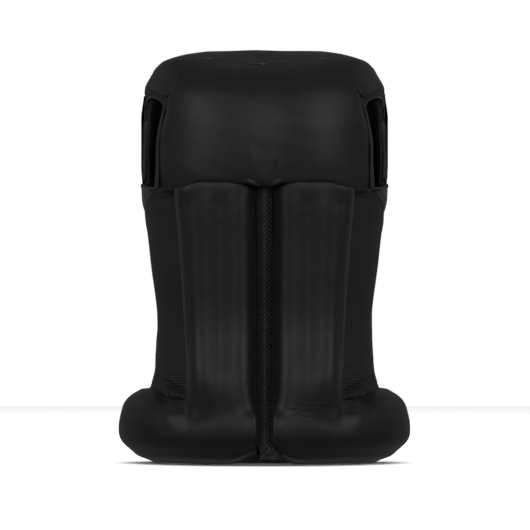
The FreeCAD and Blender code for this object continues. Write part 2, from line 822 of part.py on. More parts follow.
def build_cartridge():
    """The gas cartridge lying across the back, the manifold it screws into and what holds them."""
    axis_y = f"bay_front - {CLIP_RADIUS}"
    cartridge = new_body("gas_cartridge", "0", axis_y, CARTRIDGE_UP)
    revolve(
        cartridge, "cartridge",
        [
            ("cartridge_back", "0"),
            ("cartridge_back", "cartridge_radius * 0.6"),
            ("cartridge_back + cartridge_radius * 0.4", "cartridge_radius"),
            ("cartridge_nose", "cartridge_radius"),
            ("cartridge_mouth", "neck_radius"),
            ("cartridge_mouth + neck_depth + manifold_gap", "neck_radius"),
            ("cartridge_mouth + neck_depth + manifold_gap", "0"),
        ],
    )

    face = "cartridge_mouth + manifold_gap"
    manifold = new_body("gas_manifold", face, axis_y, f"{CARTRIDGE_UP} - cartridge_radius")
    outline = sketch_on(manifold, "manifold")
    deep = "(cartridge_radius - layer_gap)"
    rectangle(outline, "0", "manifold_length", f"-{deep}", deep)
    round_uprights(manifold, pad(manifold, outline, "manifold_height"), "dock_wall")
    holes = fuse(
        "manifold_bore",
        tube(
            "manifold_thread", "neck_radius + neck_fit", "neck_depth + manifold_gap", face, axis_y,
            CARTRIDGE_UP, FreeCAD.Vector(1, 0, 0),
        ),
        tube(
            "manifold_duct", "nozzle_radius / 2", "manifold_length / 2", f"{face} + neck_depth", axis_y,
            CARTRIDGE_UP, FreeCAD.Vector(1, 0, 0),
        ),
    )
    nozzle = tube(
        "nozzle", "nozzle_radius", "nozzle_length + 1", f"{face} + manifold_length / 2",
        f"{axis_y} - cartridge_radius + layer_gap + 1", CARTRIDGE_UP, FreeCAD.Vector(0, -1, 0),
    )
    finished.remove(manifold)
    manifold.Label = "manifold_block"
    finish(fuse("manifold_whole", cut("manifold_bored", manifold, holes), nozzle), "gas_manifold")

    for number, node in enumerate(("left_cartridge_clip", "right_cartridge_clip")):
        start = f"clip_first + clip_pitch * {number}"
        along = FreeCAD.Vector(1, 0, 0)
        outer = CLIP_RADIUS
        ring = tube(f"clip_{number}", outer, "clip_width", start, axis_y, CARTRIDGE_UP, along)
        hole = tube(
            f"clip_hole_{number}", "cartridge_radius + clip_fit", "clip_width", start, axis_y,
            CARTRIDGE_UP, along,
        )
        finish(cut(f"clip_ring_{number}", ring, hole), node)

    lead_start = "plug_side + plug_width + layer_gap / 2"
    lead = tube(
        "lead", "lead_radius", f"{face} - layer_gap / 2 - ({lead_start})", lead_start,
        "bay_front - dock_wall * 4.5", "dock_bottom - layer_gap / 2 - plug_height / 2",
        FreeCAD.Vector(1, 0, 0),
    )
    finish(lead, "trigger_lead")

    half = f"{BAY_HALF_WIDTH} - pocket_flap_side_room"
    flap = block(
        "pocket_flap", f"-({half})", half, "bay_front + layer_gap",
        "bay_front + layer_gap + pocket_flap_wall", f"{BAY_BOTTOM} + pocket_flap_room",
        "dock_bottom - 2 * layer_gap",
    )
    finish(flap, "cartridge_flap")


def build_bay():
    """The space for the dock and cartridge, and the hole where the nozzle enters the yoke chamber."""
    bay = block(
        "bay", f"-{BAY_HALF_WIDTH}", BAY_HALF_WIDTH, BAY_BACK, "0", BAY_BOTTOM, BAY_TOP,
    )
    hole = tube(
        "nozzle_hole", "nozzle_radius + chamber_gap", "nozzle_length + 2",
        "cartridge_mouth + manifold_gap + manifold_length / 2", f"{BAY_BACK} + 1", CARTRIDGE_UP,
        FreeCAD.Vector(0, -1, 0),
    )
    return bay, hole


# ---------------------------------------------------------------------------------------------
# Front zip
# ---------------------------------------------------------------------------------------------
def build_zip():
    """Tapes, chains, bottom box and pin, slider, hinge pin and puller."""
    tape_in = "chain_half_gap + chain_width + layer_gap / 4"
    tape = block(
        "tape", "-tape_edge", f"-({tape_in})", "zip_y - tape_wall / 2", "zip_y + tape_wall / 2",
        "zip_bottom", "zip_top",
    )
    both_sides(tape, "zip_tape")

    chain_out = "chain_half_gap + chain_width"
    back, face = "zip_y - chain_wall / 2", "zip_y + chain_wall / 2"
    foot = "zip_bottom + slider_length"
    left = block(
        "chain_left", f"-({chain_out})", "-chain_half_gap", back, face, foot, "zip_top - stop_height",
    )
    finish(left, "left_zip_chain")
    right = block(
        "chain_right", "chain_half_gap", chain_out, back, face, foot, "slider_bottom - layer_gap",
    )
    finish(right, "right_zip_chain")
    stop = block(
        "stop", f"-({chain_out})", "-chain_half_gap", back, face,
        "zip_top - stop_height + layer_gap / 4", "zip_top",
    )
    finish(stop, "zip_top_stop")
    box = block(
        "zip_box", f"-({chain_out})", f"{chain_out}", back, face, "zip_bottom - layer_gap",
        f"{foot} - slider_length / 2",
    )
    finish(box, "zip_bottom_box")
    pin = block(
        "zip_pin", "chain_half_gap", chain_out, "zip_y - tape_wall", "zip_y + tape_wall",
        f"{foot} - slider_length / 2 + layer_gap", f"{foot} - layer_gap / 4",
    )
    finish(pin, "zip_pin")

    body = new_body("zip_slider", "0", "zip_y", "slider_bottom")
    channel_out = f"{chain_out} + chain_fit"
    half_thick = "chain_wall / 2 + chain_fit"
    outline = sketch_on(body, "slider")
    reach = f"{channel_out} + slider_lip"
    deep = f"{half_thick} + slider_wall"
    rectangle(outline, f"-({reach})", reach, f"-({deep})", deep)
    base = pad(body, outline, "slider_length")
    round_uprights(body, base, "slider_lip")
    for side, name in ((-1, "left"), (1, "right")):
        channel = sketch_on(body, f"channel_{name}")
        near, far = "chain_half_gap - chain_fit", channel_out
        ends = (near, far) if side > 0 else (f"-({far})", f"-({near})")
        rectangle(channel, *ends, f"-({half_thick})", half_thick)
        pocket(body, channel, "slider_length")
        slot = sketch_on(body, f"slot_{name}")
        near, far = f"{channel_out} - chain_fit", f"{reach} + 1"
        ends = (near, far) if side > 0 else (f"-({far})", f"-({near})")
        rectangle(slot, *ends, "-slider_slot / 2", "slider_slot / 2")
        pocket(body, slot, "slider_length")
    ears = sketch_on(body, "ears", "slider_length / 2 - ear_length / 2")
    for side in (-1, 1):
        near, far = "ear_gap / 2", "ear_gap / 2 + ear_wall"
        ends = (near, far) if side > 0 else (f"-({far})", f"-({near})")
        rectangle(ears, *ends, f"{deep} - slider_wall / 2", f"{deep} + ear_height")
    pad(body, ears, "ear_length")

    pin_y = f"zip_y + {deep} + hinge_proud"
    pin_z = "slider_bottom + slider_length / 2"
    along = FreeCAD.Vector(1, 0, 0)
    pin_start = "-(ear_gap / 2 + ear_wall)"
    shaft = tube("hinge_shaft", "hinge_radius", f"-2 * {pin_start}", pin_start, pin_y, pin_z, along)
    finish(shaft, "puller_pin")
    finished.remove(body)
    body.Label = "slider_blank"
    seat_radius = "hinge_radius + hinge_fit / 4"
    seat = tube("hinge_seat", seat_radius, f"-2 * {pin_start}", pin_start, pin_y, pin_z, along)
    finish(cut("slider_drilled", body, seat), "zip_slider")

    eye = tube("puller_eye_form", "puller_eye", "puller_width", "-puller_width / 2", pin_y, pin_z, along)
    stem = block(
        "puller_stem", "-puller_width / 2", "puller_width / 2", f"{pin_y} - puller_wall / 2",
        f"{pin_y} + puller_wall / 2", f"{pin_z} - slider_length / 2 - 4", pin_z,
    )
    tab = block(
        "puller_tab_form", "-puller_tab / 2", "puller_tab / 2", f"{pin_y} - puller_wall / 2",
        f"{pin_y} + puller_wall / 2", f"{pin_z} - puller_length", f"{pin_z} - slider_length / 2 - 3",
    )
    bore = tube(
        "puller_bore", "hinge_radius + hinge_fit", "puller_width", "-puller_width / 2", pin_y, pin_z, along,
    )
    finish(cut("puller", fuse("puller_form", eye, stem, tab), bore), "zip_puller")


# ---------------------------------------------------------------------------------------------
# Assembly
# ---------------------------------------------------------------------------------------------
def build():
    fill_sheet()
    forms = build_forms()
    bay, nozzle_hole = build_bay()
    low, high = "armhole_bottom", "armhole_top"
    left = (f"-{FAR}", "-armhole_edge", f"-{FAR}", "armhole_front", low, high)
    right = ("armhole_edge", FAR, f"-{FAR}", "armhole_front", low, high)
    arm = (f"-{FAR}", "-20", f"-{FAR}", "armhole_front", low, high)
    build_yoke(forms, (left, right), (bay, nozzle_hole))
    build_shoulders(forms, arm)
    build_spine(forms)
    build_hips(forms)
    build_sides(forms)
    build_fronts(forms, arm)
    build_linings(forms, bay)
    build_trims(forms)
    build_plate(forms, bay)
    build_dock()
    build_sensor_box()
    build_cartridge()
    build_zip()
    doc.recompute()


def write_parts():
    """Checks every object and writes one STEP file for each sub-part."""
    failed = [o.Name for o in doc.Objects if {"Invalid", "Error"} & set(o.State)]
    if failed:
        raise RuntimeError(f"failed objects: {failed}")
    os.makedirs("parts", exist_ok=True)
    for item in finished:
        shape = item.Shape
        if shape.isNull() or not shape.isValid() or not shape.Solids:
            raise RuntimeError(f"{item.Label} has no valid solid")
        shape.exportStep(os.path.join("parts", item.Label + ".step"))


build()
write_parts()
print(len(finished), "sub-parts")
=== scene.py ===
"""Looks of the inflated back protector vest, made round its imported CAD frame.

Shapes are worked out in millimetres and become metres when their mesh is made.  The padded back faces
-Y, the zipped front faces +Y and the wearer's left is -X.
"""
import json
import math

import bmesh
import bpy
import numpy as np
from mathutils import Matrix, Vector


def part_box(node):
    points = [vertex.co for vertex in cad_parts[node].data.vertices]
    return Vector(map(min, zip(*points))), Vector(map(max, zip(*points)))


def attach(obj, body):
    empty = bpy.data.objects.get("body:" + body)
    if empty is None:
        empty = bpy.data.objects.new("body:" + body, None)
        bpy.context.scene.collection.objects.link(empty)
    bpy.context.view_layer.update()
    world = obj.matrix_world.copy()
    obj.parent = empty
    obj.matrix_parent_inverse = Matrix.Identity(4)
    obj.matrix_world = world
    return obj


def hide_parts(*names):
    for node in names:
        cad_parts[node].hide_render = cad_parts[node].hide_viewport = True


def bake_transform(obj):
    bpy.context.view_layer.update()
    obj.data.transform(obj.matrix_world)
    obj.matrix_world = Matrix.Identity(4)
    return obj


MM = 0.001
SIDES = {"left": -1, "right": 1}
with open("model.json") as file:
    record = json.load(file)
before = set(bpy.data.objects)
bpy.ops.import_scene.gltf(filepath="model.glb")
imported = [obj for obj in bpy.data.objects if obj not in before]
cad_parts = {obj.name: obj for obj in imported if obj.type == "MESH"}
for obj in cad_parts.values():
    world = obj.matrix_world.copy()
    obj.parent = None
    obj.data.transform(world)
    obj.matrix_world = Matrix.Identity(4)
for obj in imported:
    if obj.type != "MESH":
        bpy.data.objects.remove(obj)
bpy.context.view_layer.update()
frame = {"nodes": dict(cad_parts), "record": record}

# ---------------------------------------------------------------------------------------------
# Forms: the same stacks of ellipses as the CAD model
# ---------------------------------------------------------------------------------------------
# Height, half width, rearmost y and foremost y of the wearer's side.
TORSO = [
    (-30, 160, -95, 129),
    (60, 158, -93, 127),
    (130, 160, -83, 125),
    (210, 156, -75, 125),
    (310, 165, -84, 126),
    (410, 178, -98, 128),
    (500, 179, -103, 121),
    (550, 172, -98, 105),
    (575, 145, -85, 85),
    (590, 110, -72, 66),
    (605, 84, -64, 54),
    (650, 80, -62, 52),
]
# The same of the inflated outside.
BULGE = [
    (100, 172, -104, 153),
    (155, 167, -104, 159),
    (210, 164, -104, 163),
    (260, 167, -106, 166),
    (310, 173, -114, 168),
    (370, 184, -146, 169),
    (410, 187, -160, 169),
    (470, 188, -168, 167),
    (525, 187, -167, 157),
    (562, 182, -157, 137),
    (586, 171, -143, 113),
    (598, 163, -132, 92),
    (609, 146, -117, 60),
    (616, 118, -102, 25),
    (620, 90, -90, 0),
]
# The same of the hip roll.
ROLL = [
    (0, 176, -116, 150),
    (8, 190, -131, 164),
    (17, 199, -140, 173),
    (29, 211, -151, 185),
    (54, 220, -160, 194),
    (78, 217, -158, 191),
    (90, 213, -155, 187),
    (102, 202, -147, 176),
    (112, 185, -135, 160),
]
# Height, outer edge, centre y and depth behind it of a spine column.
COLUMN = [
    (0, 114, -95, 58),
    (113, 116, -95, 63),
    (200, 120, -84, 58),
    (300, 126, -87, 59),
    (412, 136, -94, 64),
]
SPINE_HALF_GAP = 10.5
PLATE_DEPTH = 13.5
LINING_DEPTH = 1.0
STRETCH_DEPTH = 5.0
SEAM_Y = 25.0
ARMHOLE_BOTTOM = 417.0
ARMHOLE_FRONT = 40.0
FRONT_BOTTOM = 114.0
FRONT_TOP = 520.0
CROWN = 620.0
HIP_TOP = 111.5
COLUMN_TOP = 411.5
SHEET_WALL = 1.2
PAD_FILL = 0.95
# How far inside its cover a gas chamber's film lies.
FILM_GAP = 2.2
# Two ends of a span for the pieces that cross a side seam, in metres: beside the ribs and round the
# armhole.
SIDE_SPAN = (0, -0.03, 0.3), (0, 0.025, 0.3)
ARMHOLE_SPAN = (0, -0.05, 0.5), (0, 0.04, 0.5)
HEM_SPAN = (0, -0.03, 0.4), (0, 0.04, 0.4)


def interpolate(rows, at):
    """A table's values at any heights, along a smooth curve through its rows."""
    rows = np.asarray(rows, float)
    knots, values = rows[:, 0], rows[:, 1:]
    slopes = np.gradient(values, knots, axis=0)
    at = np.clip(np.asarray(at, float), knots[0], knots[-1])
    index = np.clip(np.searchsorted(knots, at, "right") - 1, 0, len(knots) - 2)
    width = (knots[index + 1] - knots[index])[..., None]
    t = (at - knots[index])[..., None] / width
    low, high = values[index], values[index + 1]
    rise_low, rise_high = slopes[index] * width, slopes[index + 1] * width
    ends = low + (3 * t**2 - 2 * t**3) * (high - low)
    return ends + (t**3 - 2 * t**2 + t) * rise_low + (t**3 - t**2) * rise_high


def ring(rows, z, grow=0.0):
    """Half width, half depth and centre y of a form's ellipse at a height."""
    half, back, front = np.moveaxis(interpolate(rows, z), -1, 0)
    return half + grow, (front - back) / 2 + grow, (front + back) / 2


def on_ring(rows, angle, z, grow=0.0):
    """Points of a form at an angle from the middle of the back, towards +X."""
    half, deep, centre = ring(rows, z, grow)
    x, y = half * np.sin(angle), centre - deep * np.cos(angle)
    return np.stack(np.broadcast_arrays(x, y, z), -1).astype(float)


def back_y(rows, x, z, grow=0.0):
    half, deep, centre = ring(rows, z, grow)
    return centre - deep * np.sqrt(np.clip(1 - (x / half) ** 2, 0, 1))


def angle_at_y(rows, y, z, grow=0.0):
    """The angle from the middle of the back at which a form's ellipse passes a y."""
    _, deep, centre = ring(rows, z, grow)
    return np.arccos(np.clip((centre - y) / deep, -1, 1))


def angle_at_x(rows, x, z, grow=0.0):
    """The angle at which a form's ellipse passes an x, on the back."""
    return np.arcsin(np.clip(x / ring(rows, z, grow)[0], -1, 1))


def smoothstep(value, low, high):
    t = np.clip((value - low) / (high - low), 0, 1)
    return t * t * (3 - 2 * t)


def rounded(distance, radius):
    """How far an inflated surface has risen, from 0 at its seam to 1 a radius away from it."""
    return np.sqrt(np.clip(1 - (1 - np.clip(distance / radius, 0, 1)) ** 2, 0, 1))


def inside_dome(points):
    """Negative inside the inflated outside, positive out of it or above its crown."""
    half, deep, centre = ring(BULGE, points[..., 2])
    value = (points[..., 0] / half) ** 2 + ((points[..., 1] - centre) / deep) ** 2 - 1
    return np.where(points[..., 2] > CROWN, 1.0, value)


def cast(origins, directions):
    """Where rays from inside the dome leave it."""
    low = np.zeros(directions.shape[:-1])
    high = np.full(directions.shape[:-1], 260.0)
    for _ in range(34):
        middle = (low + high) / 2
        out = inside_dome(origins + directions * middle[..., None]) > 0
        high = np.where(out, middle, high)
        low = np.where(out, low, middle)
    return low


# ---------------------------------------------------------------------------------------------
# Meshes
# ---------------------------------------------------------------------------------------------
def new_object(name, points, faces):
    """A smooth-shaded mesh object from points in millimetres."""
    mesh = bpy.data.meshes.new(name)
    mesh.from_pydata((np.asarray(points, float).reshape(-1, 3) * MM).tolist(), [], faces)
    obj = bpy.data.objects.new(name, mesh)
    bpy.context.collection.objects.link(obj)
    tidy_mesh(obj)
    return obj


def tidy_mesh(obj):
    """Joins doubled points, turns the faces outwards and shades them smooth."""
    work = bmesh.new()
    work.from_mesh(obj.data)
    bmesh.ops.remove_doubles(work, verts=work.verts, dist=2e-5)
    bmesh.ops.dissolve_degenerate(work, edges=work.edges, dist=1e-6)
    bmesh.ops.recalc_face_normals(work, faces=work.faces)
    work.to_mesh(obj.data)
    work.free()
    obj.data.shade_smooth()


def quads(index):
    corners = index[:-1, :-1], index[:-1, 1:], index[1:, 1:], index[1:, :-1]
    return np.stack(corners, -1).reshape(-1, 4).tolist()


def sheet_grid(name, points, thickness):
    """A sheet of cloth over a grid of points, its thickness shared between its two sides."""
    rows, cols = points.shape[:2]
    obj = new_object(name, points, quads(np.arange(rows * cols).reshape(rows, cols)))
    solid = obj.modifiers.new("thickness", "SOLIDIFY")
    solid.thickness = thickness * MM
    solid.offset = 0
    apply_modifiers(obj)
    return obj


def pad(name, outer, inner):
    """A closed pad between an outer and an inner grid of the same size."""
    rows, cols = outer.shape[:2]
    top = np.arange(rows * cols).reshape(rows, cols)
    low = top + rows * cols
    faces = quads(top) + quads(low)
    for a, b in ((top[0], low[0]), (top[-1], low[-1]), (top[:, 0], low[:, 0]), (top[:, -1], low[:, -1])):
        faces += quads(np.stack([a, b]))
    return new_object(name, np.concatenate([outer.reshape(-1, 3), inner.reshape(-1, 3)]), faces)


def tube(name, path, radius, sides=8):
    """A closed round tube along a path of points."""
    path = np.asarray(path, float)
    along = np.gradient(path, axis=0)
    along /= np.linalg.norm(along, axis=1, keepdims=True)
    side = np.cross(along, [0.0, 0.0, 1.0])
    flat = np.linalg.norm(side, axis=1) < 0.2
    side[flat] = np.cross(along[flat], [0.0, 1.0, 0.0])
    side /= np.linalg.norm(side, axis=1, keepdims=True)
    up = np.cross(side, along)
    turn = np.linspace(0, 2 * np.pi, sides, endpoint=False)[None, :, None]
    points = path[:, None] + radius * (np.cos(turn) * side[:, None] + np.sin(turn) * up[:, None])
    index = np.arange(len(path) * sides).reshape(len(path), sides)
    faces = quads(np.hstack([index, index[:, :1]])) + [index[0].tolist(), index[-1].tolist()]
    return new_object(name, points, faces)


def curve_points(knots, count):
    """Points along a smooth curve through a few knots, evenly spaced by knot."""
    knots = np.asarray(knots, float)
    where = np.linspace(0, len(knots) - 1, count)
    rows = np.column_stack([np.arange(len(knots)), knots])
    return interpolate(rows, where)


def apply_modifiers(obj):
    bpy.context.view_layer.update()
    shown = obj.evaluated_get(bpy.context.evaluated_depsgraph_get())
    mesh = bpy.data.meshes.new_from_object(shown)
    obj.modifiers.clear()
    obj.data = mesh
    mesh.shade_smooth()


def remesh(obj, voxel, passes):
    """Grows intersecting shells into one even skin and relaxes it."""
    skin = obj.modifiers.new("skin", "REMESH")
    skin.mode = "VOXEL"
    skin.voxel_size = voxel * MM
    relax = obj.modifiers.new("relax", "SMOOTH")
    relax.iterations = passes
    relax.factor = 0.5
    apply_modifiers(obj)


def box_mm(name):
    """The lowest and highest corner of a CAD node, in millimetres."""
    return [np.array(corner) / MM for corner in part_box(name)]


def vertex_arrays(obj):
    """Points in millimetres and their normals."""
    count = len(obj.data.vertices)
    points, normals = np.empty(count * 3), np.empty(count * 3)
    obj.data.vertices.foreach_get("co", points)
    obj.data.vertices.foreach_get("normal", normals)
    return points.reshape(-1, 3) / MM, normals.reshape(-1, 3)


def displace(obj, height):
    """Moves each point along its normal by height(points, normals), in millimetres."""
    points, normals = vertex_arrays(obj)
    moved = points + normals * height(points, normals)[:, None]
    obj.data.vertices.foreach_set("co", (moved * MM).ravel())
    obj.data.update()


def joined(name, parts):
    """One object from several, which are used up."""
    work = bmesh.new()
    for part in parts:
        work.from_mesh(part.data)
        bpy.data.objects.remove(part)
    mesh = bpy.data.meshes.new(name)
    work.to_mesh(mesh)
    work.free()
    obj = bpy.data.objects.new(name, mesh)
    bpy.context.collection.objects.link(obj)
    mesh.shade_smooth()
    return obj


def waves(points, length, seed):
    """A smooth uneven field from about -1 to 1, made of crossed waves."""
    random = np.random.default_rng(seed)
    total = np.zeros(len(points))
    for _ in range(6):
        direction = random.normal(size=3)
        direction /= np.linalg.norm(direction)
        step = 2 * np.pi / (length * random.uniform(0.7, 1.5))
        total += np.sin(points @ direction * step + random.uniform(0, 2 * np.pi))
    return total / 3


def fold(points, start, end, width, depth):
    """A fold seen from behind: a ridge from start to end, fading at both ends, beside a furrow."""
    start, end = np.asarray(start, float), np.asarray(end, float)
    flat = points[:, (0, 2)]
    run = end - start
    length = np.linalg.norm(run)
    along = (flat - start) @ run / length**2
    across = (flat - start) @ np.array([-run[1], run[0]]) / length / width
    fade = smoothstep(along, -0.15, 0.25) * (1 - smoothstep(along, 0.7, 1.15))
    profile = np.exp(-(across**2)) - 0.6 * np.exp(-((across - 1.5) ** 2))
    return depth * fade * profile * (points[:, 1] < 0)


# ---------------------------------------------------------------------------------------------
# Materials
# ---------------------------------------------------------------------------------------------
def new_material(name, color, roughness, metallic=0.0, sheen=0.0, specular=0.5, coat=0.0):
    """A plain material, and its shader to build on."""
    made = bpy.data.materials.new(name)
    made.use_nodes = True
    shader = made.node_tree.nodes["Principled BSDF"]
    shader.inputs["Base Color"].default_value = (*color, 1)
    shader.inputs["Roughness"].default_value = roughness
    shader.inputs["Metallic"].default_value = metallic
    shader.inputs["Sheen Weight"].default_value = sheen
    shader.inputs["Sheen Roughness"].default_value = 0.45
    shader.inputs["Specular IOR Level"].default_value = specular
    shader.inputs["Coat Weight"].default_value = coat
    return made, shader


def node(made, kind, **inputs):
    """A new node. Its inputs, by name or as i0, i1 and so on, are set or linked to another's output."""
    item = made.node_tree.nodes.new(kind)
    for name, value in inputs.items():
        numbered = name[0] == "i" and name[1:].isdigit()
        socket = item.inputs[int(name[1:]) if numbered else name]
        if isinstance(value, bpy.types.NodeSocket):
            made.node_tree.links.new(value, socket)
        else:
            socket.default_value = value
    return item


def math_node(made, operation, first, second=0.0):
    item = node(made, "ShaderNodeMath", i0=first, i1=second)
    item.operation = operation
    return item.outputs[0]


def place(made):
    """The point on the object, in metres."""
    return node(made, "ShaderNodeTexCoord").outputs["Object"]


def knit_height(made, pitch):
    """Small loops that run evenly over a surface however it faces, pitch in metres."""
    scaled = node(made, "ShaderNodeVectorMath", i0=place(made), i1=(2 * math.pi / pitch,) * 3)
    scaled.operation = "MULTIPLY"
    parts = node(made, "ShaderNodeSeparateXYZ", i0=scaled.outputs[0]).outputs
    total = 0.0
    for here, there in ((0, 1), (1, 2), (2, 0)):
        sine = math_node(made, "SINE", parts[here])
        cosine = math_node(made, "COSINE", parts[there])
        total = math_node(made, "ADD", total, math_node(made, "MULTIPLY", sine, cosine))
    return total


def vary_color(made, shader, color, amount, size):
    """Lets a colour wander a little lighter and darker over patches of a size in metres."""
    cloud = node(made, "ShaderNodeTexNoise", Vector=place(made), Scale=1 / size, Detail=4.0)
    ramp = node(made, "ShaderNodeValToRGB", Fac=cloud.outputs[0])
    ramp.color_ramp.elements[0].position = 0.3
    ramp.color_ramp.elements[1].position = 0.7
    ramp.color_ramp.elements[0].color = (*(c * (1 - amount) for c in color), 1)
    ramp.color_ramp.elements[1].color = (*(c * (1 + amount) for c in color), 1)
    made.node_tree.links.new(ramp.outputs[0], shader.inputs["Base Color"])


def bump(made, shader, height, strength, distance):
    item = node(made, "ShaderNodeBump", Height=height, Strength=strength, Distance=distance)
    made.node_tree.links.new(item.outputs[0], shader.inputs["Normal"])


def fabric(name, color, roughness, pitch, relief, sheen=0.03, specular=0.3):
    """Black cloth: a fine knit with a slight unevenness in colour and height."""
    made, shader = new_material(name, color, roughness, sheen=sheen, specular=specular)
    vary_color(made, shader, color, 0.18, 0.05)
    grain = node(made, "ShaderNodeTexNoise", Vector=place(made), Scale=900.0, Detail=2.0)
    height = math_node(made, "ADD", knit_height(made, pitch), grain.outputs[0])
    bump(made, shader, height, 0.5, relief)
    return made


def hard(name, color, roughness, metallic=0.0, coat=0.0, size=0.01):
    """Moulded plastic, rubber or metal with a fine grain and slight wear in its colour."""
    made, shader = new_material(name, color, roughness, metallic, coat=coat)
    vary_color(made, shader, color, 0.12, size)
    grain = node(made, "ShaderNodeTexNoise", Vector=place(made), Scale=1500.0, Detail=3.0)
    bump(made, shader, grain.outputs[0], 0.25, 0.00006)
    return made


def make_materials():
    """One material for each slot of the CAD record."""
    black = (0.0095, 0.0095, 0.0102)
    return {
        "cover_fabric": fabric("cover_knit", black, 0.42, 0.0009, 0.00003),
        "chamber_film": hard("chamber_film", (0.04, 0.04, 0.045), 0.35, coat=0.2),
        "ribbed_stretch": fabric("rib_knit", (0.0115, 0.0115, 0.0122), 0.55, 0.0012, 0.0001),
        # Near black, darker than the lining cloth: painted shade for the shadowed rim at the front of each
        # armhole, which the linings wear too.
        "mesh_lining": fabric("lining_mesh_painted_shade", (0.0015, 0.0015, 0.0017), 0.8, 0.0028, 0.0005, 0.0, 0.1),
        "spacer_mesh": fabric("spacer_knit", (0.03, 0.03, 0.031), 0.42, 0.0008, 0.00004, 0.1, 0.5),
        "binding_tape": fabric("binding", (0.028, 0.028, 0.029), 0.5, 0.0007, 0.00005, 0.15),
        "protector_foam": hard("protector_foam", (0.02, 0.02, 0.021), 0.8),
        "case_plastic": hard("case_plastic", (0.015, 0.015, 0.016), 0.42),
        "board": hard("board", (0.01, 0.09, 0.04), 0.35, coat=0.5),
        "battery_wrap": hard("battery_foil", (0.42, 0.43, 0.45), 0.35, 0.8),
        "button_rubber": hard("button_rubber", (0.03, 0.03, 0.032), 0.7),
        "port_steel": hard("port_steel", (0.6, 0.6, 0.6), 0.3, 1.0),
        "cartridge_steel": hard("cartridge_steel", (0.5, 0.51, 0.53), 0.3, 1.0),
        "manifold_alloy": hard("manifold_alloy", (0.55, 0.56, 0.58), 0.38, 1.0),
        "lead_jacket": hard("lead_jacket", (0.015, 0.015, 0.015), 0.55),
        "flap_fabric": fabric("flap_cloth", (0.012, 0.012, 0.013), 0.6, 0.001, 0.0001),
        "zip_tape": fabric("tape_weave", (0.009, 0.009, 0.0095), 0.6, 0.0008, 0.00008),
        "zip_teeth": hard("zip_teeth", (0.014, 0.014, 0.015), 0.32),
        "slider_metal": hard("slider_metal", (0.02, 0.02, 0.021), 0.3, 0.6, coat=0.4),
        "clear_window": clear_window(),
    }


def clear_window():
    """The clear cap of the light window."""
    made, shader = new_material("clear_window", (0.85, 0.9, 0.95), 0.12)
    shader.inputs["Transmission Weight"].default_value = 0.9
    grain = node(made, "ShaderNodeTexNoise", Vector=place(made), Scale=700.0)
    bump(made, shader, grain.outputs[0], 0.1, 0.00003)
    return made


def cover(piece, slot, nodes):
    """Gives a piece its material and hides the CAD nodes that it stands for."""
    piece.data.materials.clear()
    piece.data.materials.append(MATERIALS[slot])
    if nodes:
        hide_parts(*nodes)


def dress(piece, slot, body, *nodes, fill=None):
    """Finishes a piece that rides on one body. A fill is not used."""
    cover(piece, slot, nodes)
    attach(piece, body)


def dress_blended(piece, slot, side, span, *nodes, fill=None):
    """Finishes a piece that runs from the shell to one of the fronts. The side and the span are not used.
    """
    cover(piece, slot, nodes)
    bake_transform(piece)


def film_inside(outside, name):
    """The skin of the gas chamber just inside a cover."""
    film = bpy.data.objects.new(name, outside.data.copy())
    bpy.context.collection.objects.link(film)
    displace(film, lambda points, normals: np.full(len(points), -FILM_GAP))
    return film


def bladder(outside, name, nodes, body):
    """A gas chamber that rides on one body."""
    dress(film_inside(outside, name), "chamber_film", body, *nodes, fill=PAD_FILL)


# ---------------------------------------------------------------------------------------------
# Back: columns with hips, yoke, strip and side panels
# ---------------------------------------------------------------------------------------------
def column_tube(sign):
    """One spine column from inside the hip roll to the yoke, cut off flat by the protector plate."""
    heights = np.linspace(22, COLUMN_TOP, 165)[:, None]
    edge, centre, deep = np.moveaxis(interpolate(COLUMN, heights), -1, 0)
    head = rounded(COLUMN_TOP - heights + 2.0, 12)
    wide = (edge - SPINE_HALF_GAP) / 2 * (0.985 + 0.015 * head)
    deep = deep * (0.95 + 0.05 * head)
    turn = np.linspace(0, 2 * np.pi, 120, endpoint=False)[None]
    # A section with a flatter back and tighter shoulders than an ellipse.
    across = np.sign(np.cos(turn)) * np.abs(np.cos(turn)) ** 0.55
    out = np.sign(np.sin(turn)) * np.abs(np.sin(turn)) ** 0.55
    x = (edge + SPINE_HALF_GAP) / 2 - wide * across
    y = centre - (deep - 2.0) * out
    rise = yoke_bottom(x) + 3.0 - COLUMN_TOP
    z = heights + rise * smoothstep(heights, COLUMN_TOP - 40, COLUMN_TOP)
    z = z + spine_lift(x, z)
    # The foot sinks into the back of the hip roll.
    foot = 1 - smoothstep(z, 34, 140)
    hip_y = back_y(ROLL, x, np.minimum(z, 85)) + 2.0
    y = np.where(y < centre, y + (np.maximum(y, hip_y) - y) * foot, y)
    y = np.minimum(y, back_y(TORSO, x, z, PLATE_DEPTH))
    return closed_loops("column", np.stack([sign * x, y, z], -1))


def closed_loops(name, points):
    """A closed solid through a stack of closed loops of points."""
    rows, cols = points.shape[:2]
    index = np.arange(rows * cols).reshape(rows, cols)
    faces = quads(np.hstack([index, index[:, :1]])) + [index[0].tolist(), index[-1].tolist()]
    return new_object(name, points, faces)


def spine_lift(x, z):
    """How far the lower edge of the hip roll rises towards the spine."""
    return 14.0 * smoothstep(-np.abs(x), -52, -9) * (1 - smoothstep(z, 0, 60))


